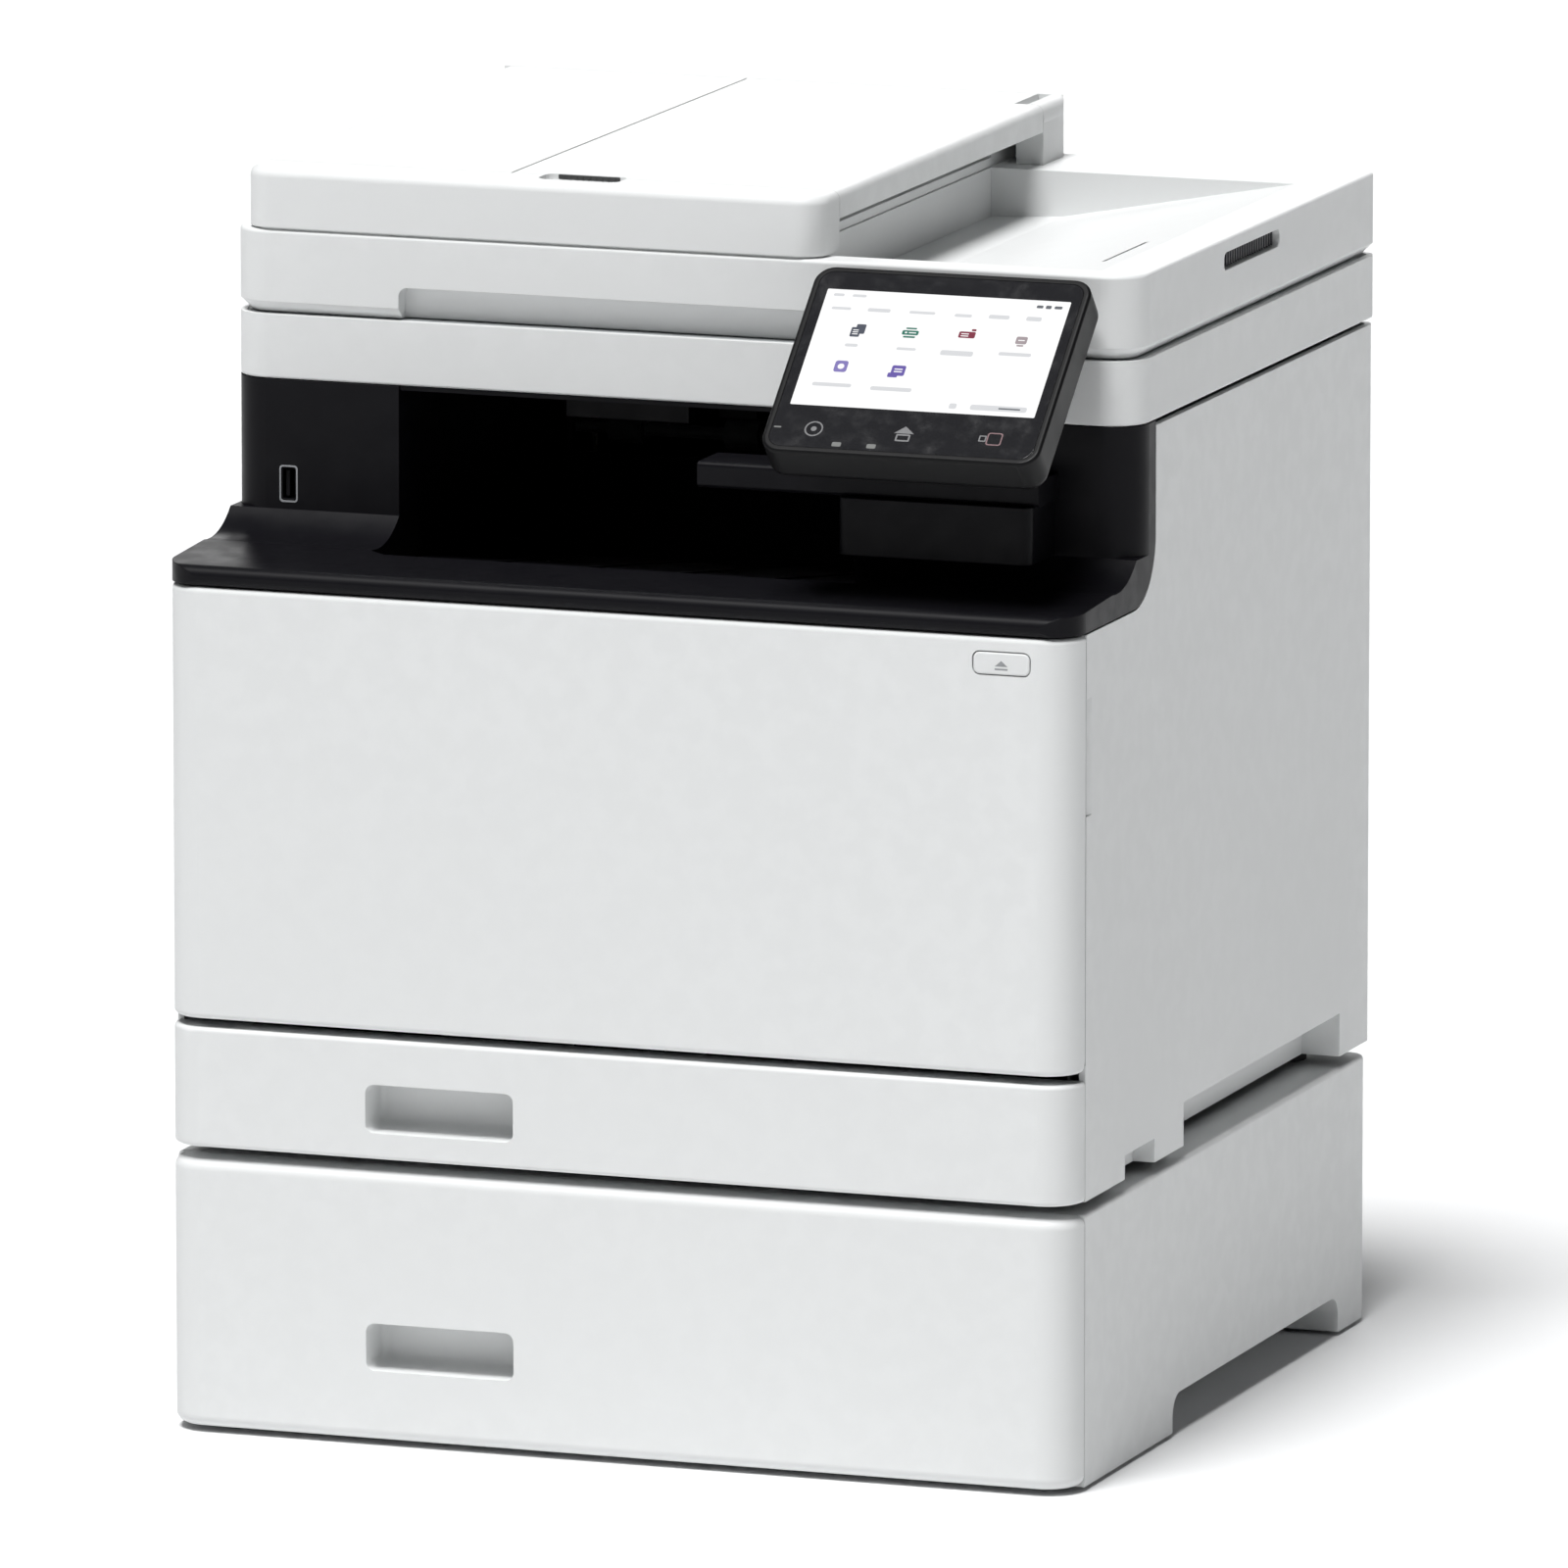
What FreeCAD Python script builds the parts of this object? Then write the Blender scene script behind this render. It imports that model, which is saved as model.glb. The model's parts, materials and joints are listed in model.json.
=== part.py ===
import FreeCAD, Part
import math
import os

os.makedirs("parts", exist_ok=True)

# Desktop colour laser copier with document feeder, tilting touch panel and a second cassette
# feeder beneath. All lengths are millimetres. While the parts are drawn, x = 0 is the middle of
# the width, y = 0 is the outer face of the front door (y grows to the rear) and z = 0 is the
# floor. save() then moves every part so that y = 0 is the middle of the overall depth.

# ---- driving dimensions -------------------------------------------------------------------
WIDTH = 425.0
HALF = WIDTH / 2
MID_DEPTH = 220.2            # overall depth runs from the panel's lower edge to the rear cover
SKIN = 3.0                   # wall thickness of the moulded covers
CORNER_R = 17.0              # plan radius of the front corners
REAR_R = 8.0                 # plan radius of the rear corners
SEAM_Y = 17.0                # where the front panels stop and the side covers begin
SEAM_GAP = 0.7
BODY_BACK = 416.0
FEEDER_BACK = 410.0
UPPER_FRONT = 84.0           # the scanner and pillars stand back this far from the door

FOOT_H = 2.0
FEEDER_TOP = 123.5
MAIN_BOTTOM = 129.2
CASSETTE1_TOP = 183.0
DOOR_BOTTOM = 186.9
DOOR_TOP = 380.3
LEDGE_BOTTOM = 381.2
SIDE_TOP = 458.4
SCANNER_BOTTOM = 460.9
SCANNER_TOP = 489.6
LID_BOTTOM = 490.2
LID_TOP = 527.3
ADF_BOTTOM = 528.3
ADF_TOP = 554.8
ADF_LEFT = -206.0
ADF_RIGHT = 66.0
ADF_SEAM_X = -88.0
ADF_STRIP_Y = 108.0          # the fixed front strip of the document feeder ends here
ADF_BACK = 418.0

PATH_X = -24.0               # centre line of the paper path
PAPER_W = 216.0
PILLAR_LEFT_EDGE = -132.3
PILLAR_RIGHT_EDGE = 85.0
CAVITY_BACK = 300.0

PANEL_W = 128.0
PANEL_L = 105.0
PANEL_T = 20.0
PANEL_X = 134.4
PANEL_TILT = 41.6            # degrees between the touch face and the horizontal
PANEL_EDGE_Y = -10.0         # lower edge of the touch face
PANEL_EDGE_Z = 458.3
PANEL_PIVOT_Y = 73.0
PANEL_PIVOT_Z = 512.0

DOOR_AXIS_Y = 8.0
DOOR_AXIS_Z = 192.5
LID_AXIS_Y = 414.0
LID_AXIS_Z = 495.0
FEED_COVER_AXIS_X = -202.0
FEED_COVER_AXIS_Z = 533.0
DOC_TRAY_AXIS_X = 60.0
DOC_TRAY_AXIS_Z = 548.5
REAR_AXIS_Y = 422.0
REAR_AXIS_Z = 199.0
RUN_FIT = 0.05               # radial clearance between a shaft and its hole

HANDLE_X0, HANDLE_X1 = -117.0, -47.6
HANDLE_DEPTH = 21.0
DOOR_BUTTON_X0, DOOR_BUTTON_X1 = 166.5, 192.5
DOOR_BUTTON_Z0, DOOR_BUTTON_Z1 = 363.8, 373.5
DOOR_LUG_X = 195.0
DOOR_LUG_W = 5.0
DOOR_PIN_R = 2.5

TRAY_HALF = 186.0
TRAY_FRONT, TRAY_BACK = 26.0, 388.0
SHEET_FRONT = 62.0           # the leading edge of the paper in a cassette
SHEET_LENGTH = 297.0
PICKUP_Y = 72.0
PICKUP1_Z = 176.0
PICKUP2_Z = 100.0
PICKUP_SHAFT_R = 3.0
FEEDER_ROOF = 9.0
NOTCH_Y0, NOTCH_Y1, NOTCH_TOP = 137.0, 369.0, 19.0   # the opening between the feeder's feet

PLATE = 1.2                  # sheet steel
PLATE_X = 200.0
SWEEP_R = 30.0               # the side cover's top edge turns up through this radius
SWEEP_BACK = 110.0           # and stands upright here
CARRY_Y0, CARRY_Y1, CARRY_TOP = 150.7, 369.3, 149.0
FRONT_GRIP_Y0, FRONT_GRIP_Y1, FRONT_GRIP_TOP = 71.0, 111.0, 140.0
DOOR_NOTCH_Z0, DOOR_NOTCH_Z1 = 300.0, 352.0
DOOR_NOTCH_DEEP, DOOR_NOTCH_RUN = 2.2, 8.0           # deepest at the seam, running out to the rear
REAR_OPEN_HALF = 138.0
REAR_OPEN_Z0, REAR_OPEN_Z1 = 217.0, 423.0
INLET_X, INLET_Z = 176.0, 176.0
PORTS_X, PORTS_Z = -180.0, 176.0
SWITCH_X, SWITCH_Z = 176.0, 205.0
REAR_COVER_HALF = 158.0
REAR_COVER_Z0, REAR_COVER_Z1 = 195.0, 434.0
REAR_COVER_BACK = 450.4
REAR_LUG_X = 130.0           # from the path's centre line to each hinge of the rear cover
REAR_PIN_R = 1.5

MOUTH_Y, MOUTH_Z = 44.0, 389.2
TRAY_REAR_Z = 354.0
WING_Y = 112.4               # the front frame ends and the cavity's own walls begin
USB_X, USB_Z = -184.7, 413.9
EXIT_Y, EXIT_Z = 311.0, 408.0
EXIT_SHAFT_R = 3.0
EXIT_TYRES = (-84.0, -28.0, 28.0, 84.0)
HOOD_Z = 429.1

DRAWER_HALF = 168.0
DRAWER_FRONT, DRAWER_BACK = 25.0, 325.0
DRAWER_Z0, DRAWER_Z1 = 214.0, 262.0
CARTRIDGE_PITCH = 71.0
CARTRIDGE_D = 68.0
CARTRIDGE_Z1 = 318.0
TONERS = ("toner_yellow", "toner_magenta", "toner_cyan", "toner_black")
FUSER_Y, PRESS_Y, FUSER_Z = 360.0, 386.2, 322.0

GLASS_X0, GLASS_X1 = -160.0, 158.0
GLASS_Y0, GLASS_Y1 = 132.0, 356.0
ADF_GLASS_X0, ADF_GLASS_X1 = -190.0, -174.0
ROD_Y, ROD_Z = 250.0, 468.5
ROD_R = 4.0
CARRIAGE_X0, CARRIAGE_X1 = -194.0, -172.0
HINGE_X = 150.0
LID_PIN_R = 2.2
RECESS_X0, RECESS_X1 = 46.0, 191.0
RECESS_Y0, RECESS_Y1 = 99.0, 366.0
RECESS_DEEP = 505.0
GRIP_HALF = 132.3
GRIP_TOP = 504.5

ADF_CORNER_R = 12.0
ADF_PLINTH = 2.0
ADF_PATH_Y = 259.0
PICK_X, PICK_Z = -112.0, 540.0
FEED_X, FEED_Z = -150.0, 538.5
ADF_SHAFT_R = 3.0
FRAME_RIGHT = 45.0
DOC_TRAY_LOW = 542.4

BAR_FRONT = 57.0
BLOCK_FRONT = 52.0
BLOCK_X0, BLOCK_X1 = 85.0, 174.5
FAR = 500.0                  # further out than any part, for tools that cut everything away


# ---- helpers ------------------------------------------------------------------------------
def vec(x, y, z):
    return FreeCAD.Vector(x, y, z)


def box(x0, x1, y0, y1, z0, z1):
    return Part.makeBox(x1 - x0, y1 - y0, z1 - z0, vec(x0, y0, z0))


def rod_x(x0, x1, y, z, r):
    return Part.makeCylinder(r, x1 - x0, vec(x0, y, z), vec(1, 0, 0))


def rod_y(x, y0, y1, z, r):
    return Part.makeCylinder(r, y1 - y0, vec(x, y0, z), vec(0, 1, 0))


def rod_z(x, y, z0, z1, r):
    return Part.makeCylinder(r, z1 - z0, vec(x, y, z0), vec(0, 0, 1))


def fuse(shapes):
    whole = shapes[0]
    for piece in shapes[1:]:
        whole = whole.fuse(piece)
    return whole.removeSplitter()


def cut(whole, tools):
    for tool in tools:
        whole = whole.cut(tool)
    return whole


def mirror_x(shape):
    return shape.mirror(vec(0, 0, 0), vec(1, 0, 0))


def edges_where(shape, test):
    return [edge for edge in shape.Edges if test(edge)]


def is_along(edge, axis):
    ends = edge.Vertexes
    if len(ends) != 2:
        return False
    run = ends[1].Point.sub(ends[0].Point)
    return run.Length > 1e-6 and abs(run.dot(axis)) > 0.999 * run.Length


def at(edge, x=None, y=None, z=None, tol=0.05):
    centre = edge.BoundBox.Center
    checks = ((x, centre.x), (y, centre.y), (z, centre.z))
    return all(want is None or abs(want - got) < tol for want, got in checks)


def prism(x0, x1, y0, y1, z0, z1, front_r, rear_r):
    """A block whose vertical corners are rounded, the front pair and the rear pair apart."""
    block = box(x0, x1, y0, y1, z0, z1)
    upright = vec(0, 0, 1)
    if front_r > 0:
        front = edges_where(block, lambda e: is_along(e, upright) and at(e, y=y0))
        block = block.makeFillet(front_r, front)
    if rear_r > 0:
        rear = edges_where(block, lambda e: is_along(e, upright) and at(e, y=y1))
        block = block.makeFillet(rear_r, rear)
    return block


def round_slot(x0, x1, y0, y1, z0, z1, r):
    """A block whose four edges along y are rounded: a rounded window seen from the front."""
    block = box(x0, x1, y0, y1, z0, z1)
    return block.makeFillet(r, edges_where(block, lambda e: is_along(e, vec(0, 1, 0))))


def round_slot_x(x0, x1, y0, y1, z0, z1, r):
    """A block whose four edges along x are rounded: a rounded window seen from the side."""
    block = box(x0, x1, y0, y1, z0, z1)
    return block.makeFillet(r, edges_where(block, lambda e: is_along(e, vec(1, 0, 0))))


def round_slot_z(x0, x1, y0, y1, z0, z1, r):
    """A block whose four upright edges are rounded: a rounded window seen from above."""
    block = box(x0, x1, y0, y1, z0, z1)
    return block.makeFillet(r, edges_where(block, lambda e: is_along(e, vec(0, 0, 1))))


def face_yz(points):
    """A wire of straight runs in the y-z plane at x = 0."""
    corners = [vec(0, y, z) for y, z in points]
    return Part.Face(Part.makePolygon(corners + corners[:1]))


def slab_yz(points, x0, x1):
    solid = face_yz(points).extrude(vec(x1 - x0, 0, 0))
    solid.translate(vec(x0, 0, 0))
    return solid


def slab_xz(points, y0, y1):
    corners = [vec(x, y0, z) for x, z in points]
    face = Part.Face(Part.makePolygon(corners + corners[:1]))
    return face.extrude(vec(0, y1 - y0, 0))


def slab_xy(points, z0, z1):
    corners = [vec(x, y, z0) for x, y in points]
    face = Part.Face(Part.makePolygon(corners + corners[:1]))
    return face.extrude(vec(0, 0, z1 - z0))


def lies_at(low, high, value):
    return abs(low - value) < 0.02 and abs(high - value) < 0.02


def round_top_edges(shape, z, r, but_y=FAR):
    """Fillet every edge that lies flat at height z, apart from one that runs along y = but_y."""
    rim = [e for e in shape.Edges
           if lies_at(e.BoundBox.ZMin, e.BoundBox.ZMax, z)
           and not lies_at(e.BoundBox.YMin, e.BoundBox.YMax, but_y)]
    return shape.makeFillet(r, rim)


def save(name, shape):
    """Write one part, moved so that y = 0 is the middle of the overall depth."""
    placed = shape.copy()
    placed.translate(vec(0, -MID_DEPTH, 0))
    placed.exportStep("parts/" + name + ".step")


# ---- front panels: door and cassette fronts -------------------------------------------------
def front_cap(z0, z1, edge_r):
    """A shallow cap: flat front, rounded corners that wrap back to the side seam, open behind."""
    cap = prism(-HALF, HALF, 0, SEAM_Y + CORNER_R, z0, z1, CORNER_R, 0)
    front = [e for e in cap.Edges
             if (abs(e.BoundBox.ZMax - z0) < 0.02 or abs(e.BoundBox.ZMin - z1) < 0.02)
             and not at(e, y=SEAM_Y + CORNER_R)]
    cap = cap.makeFillet(edge_r, front)
    hollow = prism(-HALF + SKIN, HALF - SKIN, SKIN, SEAM_Y + 2 * CORNER_R,
                   z0 + SKIN, z1 - SKIN, CORNER_R - SKIN, 0)
    behind = box(-HALF - 1, HALF + 1, SEAM_Y, SEAM_Y + 2 * CORNER_R, z0 - 1, z1 + 1)
    return cut(cap, [hollow, behind])


def with_handle(cap, z0, z1):
    """Add the moulded finger pocket that opens a cassette."""
    wall = 2.2
    shell = round_slot(HANDLE_X0 - wall, HANDLE_X1 + wall, 1, HANDLE_DEPTH + wall, z0 - wall, z1 + wall, 5)
    pocket = round_slot(HANDLE_X0, HANDLE_X1, -1, HANDLE_DEPTH, z0, z1, 4)
    inner_rim = edges_where(pocket, lambda e: abs(e.BoundBox.YMin - HANDLE_DEPTH) < 0.02)
    pocket = pocket.makeFillet(3, inner_rim)
    return cap.fuse(shell).cut(pocket).removeSplitter()


def side_span(side, inner, outer):
    """The x range between two distances from the middle, on the side given as -1 or 1."""
    ends = (side * inner, side * outer)
    return min(ends), max(ends)


def build_front_door():
    door = front_cap(DOOR_BOTTOM, DOOR_TOP, 2.5)
    ribs = [box(x - 1, x + 1, 2, 9, DOOR_BOTTOM + 12, DOOR_TOP - 6) for x in (-120, -40, 40, 120)]
    door = fuse([door] + ribs)
    for side in (-1, 1):
        x0, x1 = side_span(side, DOOR_LUG_X, DOOR_LUG_X + DOOR_LUG_W)
        lug = rod_x(x0, x1, DOOR_AXIS_Y, DOOR_AXIS_Z, 4.6)
        arm = box(x0, x1, 2, DOOR_AXIS_Y, DOOR_AXIS_Z - 4.6, DOOR_AXIS_Z + 4.6)
        door = fuse([door, lug, arm])
        door = door.cut(rod_x(x0 - 1, x1 + 1, DOOR_AXIS_Y, DOOR_AXIS_Z, DOOR_PIN_R + RUN_FIT))
        # the bottom lip is open where the hinge bracket reaches in
        x0, x1 = side_span(side, 182, DOOR_LUG_X - 0.4)
        door = door.cut(box(x0, x1, SKIN + 0.4, SEAM_Y + 1, DOOR_BOTTOM - 1, DOOR_BOTTOM + SKIN + 0.1))
        # the wrap-round edge is rounded below the hinge, so that it turns clear of the side cover
        x0, x1 = side_span(side, HALF - SKIN - 3, HALF + 1)
        heel = box(x0, x1, 11, SEAM_Y + 1, DOOR_BOTTOM - 1, DOOR_BOTTOM + 6)
        heel = heel.cut(rod_x(x0, x1, 11, DOOR_BOTTOM + 6, 6))
        door = door.cut(heel)
    # the bottom lip stops short, so that it turns clear of the toner drawer
    door = door.cut(box(-HALF + SKIN, HALF - SKIN, 10, SEAM_Y + 1,
                        DOOR_BOTTOM - 1, DOOR_BOTTOM + SKIN + 0.1))
    window = round_slot(DOOR_BUTTON_X0 - 0.5, DOOR_BUTTON_X1 + 0.5, -1, SKIN + 1,
                        DOOR_BUTTON_Z0 - 0.5, DOOR_BUTTON_Z1 + 0.5, 3.5)
    return door.cut(window)


def build_door_button():
    cap = round_slot(DOOR_BUTTON_X0, DOOR_BUTTON_X1, -0.3, 5, DOOR_BUTTON_Z0, DOOR_BUTTON_Z1, 3)
    rim = edges_where(cap, lambda e: abs(e.BoundBox.YMax + 0.3) < 0.02)
    cap = cap.makeFillet(0.8, rim)
    flange = box(DOOR_BUTTON_X0 - 3, DOOR_BUTTON_X1 + 3, SKIN + 0.3, 5,
                 DOOR_BUTTON_Z0 - 2, DOOR_BUTTON_Z1 + 1.5)
    stem = rod_y((DOOR_BUTTON_X0 + DOOR_BUTTON_X1) / 2, 5, 11, (DOOR_BUTTON_Z0 + DOOR_BUTTON_Z1) / 2, 2.5)
    return fuse([cap, flange, stem])


def door_hinges():
    parts = []
    for side in (-1, 1):
        x0, x1 = side_span(side, 184, 193)
        head = rod_x(x0, x1, DOOR_AXIS_Y, DOOR_AXIS_Z, 4.4)
        stem = box(x0, x1, DOOR_AXIS_Y, 44, DOOR_AXIS_Z - 4, DOOR_AXIS_Z + 4)
        foot = box(x0, x1, 36, 44, DOOR_AXIS_Z - 4, DOOR_AXIS_Z + 30)
        p0, p1 = side_span(side, 185, 202)
        pin = rod_x(p0, p1, DOOR_AXIS_Y, DOOR_AXIS_Z, DOOR_PIN_R)
        parts.append(fuse([head, stem, foot, pin]))
    return parts


# ---- paper cassettes ------------------------------------------------------------------------
class Cassette:
    """One paper cassette: its front panel spans z0 to z1 and its tray floor lies at base."""

    def __init__(self, z0, z1, handle_z0, handle_z1, base, rim):
        self.z0, self.z1 = z0, z1
        self.handle = (handle_z0, handle_z1)
        self.base, self.rim = base, rim

    def front(self):
        edge_r = 2.0 if self.z1 - self.z0 < 80 else 5.0
        cap = front_cap(self.z0, self.z1, edge_r)
        cap = with_handle(cap, *self.handle)
        ribs = [box(x - 2, x + 2, 2, TRAY_FRONT, self.base, self.base + 18) for x in (-160, -20, 60, 160)]
        return fuse([cap] + ribs)

    def tray(self):
        outer = prism(-TRAY_HALF, TRAY_HALF, TRAY_FRONT, TRAY_BACK, self.base, self.rim, 4, 4)
        well = prism(-TRAY_HALF + 3, TRAY_HALF - 3, TRAY_FRONT + 3, TRAY_BACK - 3,
                     self.base + 3, self.rim + 1, 3, 3)
        tray = outer.cut(well)
        stop = box(PATH_X - 100, PATH_X + 100, SHEET_FRONT - 4, SHEET_FRONT - 1,
                   self.base + 2, self.base + 12)
        ribs = [box(x - 0.8, x + 0.8, TRAY_FRONT + 2, SHEET_FRONT - 2, self.base + 2, self.base + 8)
                for x in (-150, -100, -50, 0, 50, 100, 150)]
        return fuse([tray, stop] + ribs)

    def lift_plate(self):
        z = self.base + 4
        plate = prism(PATH_X - 104, PATH_X + 104, SHEET_FRONT, 340, z, z + 1.2, 6, 2)
        tools = []
        for side in (-1, 1):
            x0, x1 = side_span(side, 44, 110)
            # long enough in front for the side guides when the plate is raised
            tools.append(box(PATH_X + x0, PATH_X + x1, 137, 218, z - 1, z + 2))
        tools.append(box(PATH_X - 22, PATH_X + 22, 205, 341, z - 1, z + 2))
        lip = box(PATH_X - 40, PATH_X + 40, SHEET_FRONT + 8, SHEET_FRONT + 20, z + 1.2, z + 2)
        barrel = rod_x(PATH_X - 100, PATH_X - 30, 336, z + 1.2, 2.2)
        barrel2 = rod_x(PATH_X + 30, PATH_X + 100, 336, z + 1.2, 2.2)
        return fuse([cut(plate, tools), lip, barrel, barrel2])

    def side_guide(self, side):
        top = self.rim - 8
        base = self.base + 3.4
        x0, x1 = side_span(side, PAPER_W / 2 + 0.6, PAPER_W / 2 + 3)
        wall = box(PATH_X + x0, PATH_X + x1, 146, 214, base, top)
        f0, f1 = side_span(side, PAPER_W / 2 + 0.6, PAPER_W / 2 + 20)
        foot = box(PATH_X + f0, PATH_X + f1, 150, 210, base, base + 2.4)
        g0, g1 = side_span(side, PAPER_W / 2 + 2, PAPER_W / 2 + 17)
        grip = box(PATH_X + g0, PATH_X + g1, 178, 182, base + 1, top - 2)
        return fuse([wall, foot, grip])

    def rear_guide(self):
        top = self.rim - 14
        base = self.base + 3.4
        y = SHEET_FRONT + SHEET_LENGTH + 0.5
        wall = box(PATH_X - 18, PATH_X + 18, y, y + 2.6, base, top)
        foot = box(PATH_X - 18, PATH_X + 18, y, y + 20, base, base + 2.4)
        rib = box(PATH_X - 2, PATH_X + 2, y + 2, y + 18, base + 1, top - 2)
        return fuse([wall, foot, rib])


CASSETTES = {
    1: Cassette(MAIN_BOTTOM, CASSETTE1_TOP, 141.0, 162.7, MAIN_BOTTOM + 3.3, 178.0),
    2: Cassette(2.6, FEEDER_TOP, 34.0, 55.3, 24.5, 102.0),
}


def build_pickup_roller(y, z):
    shaft = rod_x(PATH_X - 120, PATH_X + 150, y, z, PICKUP_SHAFT_R)
    tyre = rod_x(PATH_X - 18, PATH_X + 18, y, z, 10)
    return shaft.fuse(tyre).removeSplitter()


# ---- lower feeder unit ----------------------------------------------------------------------
def build_feeder_housing():
    outer = prism(-HALF, HALF, 0, FEEDER_BACK, FOOT_H, FEEDER_TOP, CORNER_R, REAR_R)
    outer = outer.cut(box(-HALF - 1, HALF + 1, -1, SEAM_Y + SEAM_GAP, 0, FEEDER_TOP + 1))
    outer = round_top_edges(outer, FEEDER_TOP, 2.0, SEAM_Y + SEAM_GAP)
    bay = box(-190, 190, SEAM_Y, 394, 22, FEEDER_TOP - FEEDER_ROOF)
    notch = box(-HALF - 1, HALF + 1, NOTCH_Y0, NOTCH_Y1, 0, NOTCH_TOP)
    ends = edges_where(notch, lambda e: is_along(e, vec(1, 0, 0)) and at(e, z=NOTCH_TOP))
    notch = notch.makeFillet(10, ends)
    under = box(-150, 150, 40, FEEDER_BACK - 14, 0, 17)
    slot = box(PATH_X - 112, PATH_X + 112, 44, 66, FEEDER_TOP - FEEDER_ROOF - 1, FEEDER_TOP + 1)
    ears = []
    for side in (-1, 1):
        x = PATH_X + (-112 if side < 0 else 134)
        ears.append(box(x, x + 6, 58, 84, 95.5, FEEDER_TOP - FEEDER_ROOF + 1))
    housing = cut(outer, [bay, notch, under, slot]).fuse(ears).removeSplitter()
    shaft_hole = rod_x(PATH_X - 125, PATH_X + 155, PICKUP_Y, PICKUP2_Z, PICKUP_SHAFT_R + RUN_FIT)
    pins = [rod_z(x, y, FEEDER_TOP - 1, FEEDER_TOP + 4, 3) for x, y in ((-170, 70), (170, 340))]
    return housing.cut(shaft_hole).fuse(pins).removeSplitter()


def build_feet():
    """Four feet under the feeder and four that hold the main unit off the feeder's roof."""
    low = [rod_z(x, y, 0, FOOT_H, 14) for x in (-178, 178) for y in (60, 388)]
    high = [rod_z(x, y, FEEDER_TOP, MAIN_BOTTOM, 11) for x in (-180, 180) for y in (40, 385)]
    return Part.makeCompound(low + high)


# ---- chassis --------------------------------------------------------------------------------
def build_chassis():
    """Pressed steel: two side plates, the floor between cassette and toner bay, and a rear plate."""
    sides = []
    for side in (-1, 1):
        x0, x1 = side_span(side, PLATE_X, PLATE_X + PLATE)
        low = box(x0, x1, 30, 405, 153, 380)
        high = box(x0, x1, 112, 405, 380, 455)
        plate = low.fuse(high)
        window = round_slot_x(x0 - 1, x1 + 1, 150, 300, 220, 330, 12)
        sides.append(plate.cut(window))
    floor = box(-PLATE_X, PLATE_X, 36, 405, 187.2, 187.2 + PLATE)
    slot = box(PATH_X - 112, PATH_X + 112, 50, 70, 186, 190)
    slot2 = box(PATH_X - 112, PATH_X + 112, 350, 380, 186, 190)
    floor = cut(floor, [slot, slot2])
    rear = box(-PLATE_X, PLATE_X, 408, 408 + PLATE, 153, 455)
    rear = rear.cut(box(PATH_X - 138, PATH_X + 138, 400, 412, 217, 423))
    beam = box(-PLATE_X, PLATE_X, 400, 409, 450, 450 + PLATE)
    joined = fuse(sides + [floor, rear, beam])
    tabs = [box(x, x + PLATE, 404, 408 + PLATE, 219, 454) for x in (-PLATE_X - PLATE, PLATE_X)]
    frame = fuse([joined] + tabs)
    # corners left free for the sockets
    corners = [box(*side_span(side, 157, PLATE_X), 388, 412, 152, 218) for side in (-1, 1)]
    return cut(frame, corners)


# ---- side and rear covers -------------------------------------------------------------------
def side_profile(offset, low, back, top):
    """The outline of the side cover in the y-z plane, as a face.

    Its top edge follows the ledge and then turns up through a quarter circle. offset moves that
    edge down and back, so that the cover and the black front frame keep a thin seam.
    """
    front = SEAM_Y + SEAM_GAP
    level = DOOR_TOP + 0.5 - offset
    upright = SWEEP_BACK + offset
    middle_y, middle_z = upright - SWEEP_R, level + SWEEP_R
    diagonal = SWEEP_R * math.sqrt(0.5)
    arc = Part.Arc(vec(0, middle_y, level), vec(0, middle_y + diagonal, middle_z - diagonal),
                   vec(0, upright, middle_z)).toShape()
    corners = [(upright, middle_z), (upright, top), (back, top), (back, low), (front, low),
               (front, level), (middle_y, level)]
    runs = [Part.makeLine(vec(0, *a), vec(0, *b)) for a, b in zip(corners, corners[1:])]
    return Part.Face(Part.Wire([arc] + runs))


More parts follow.
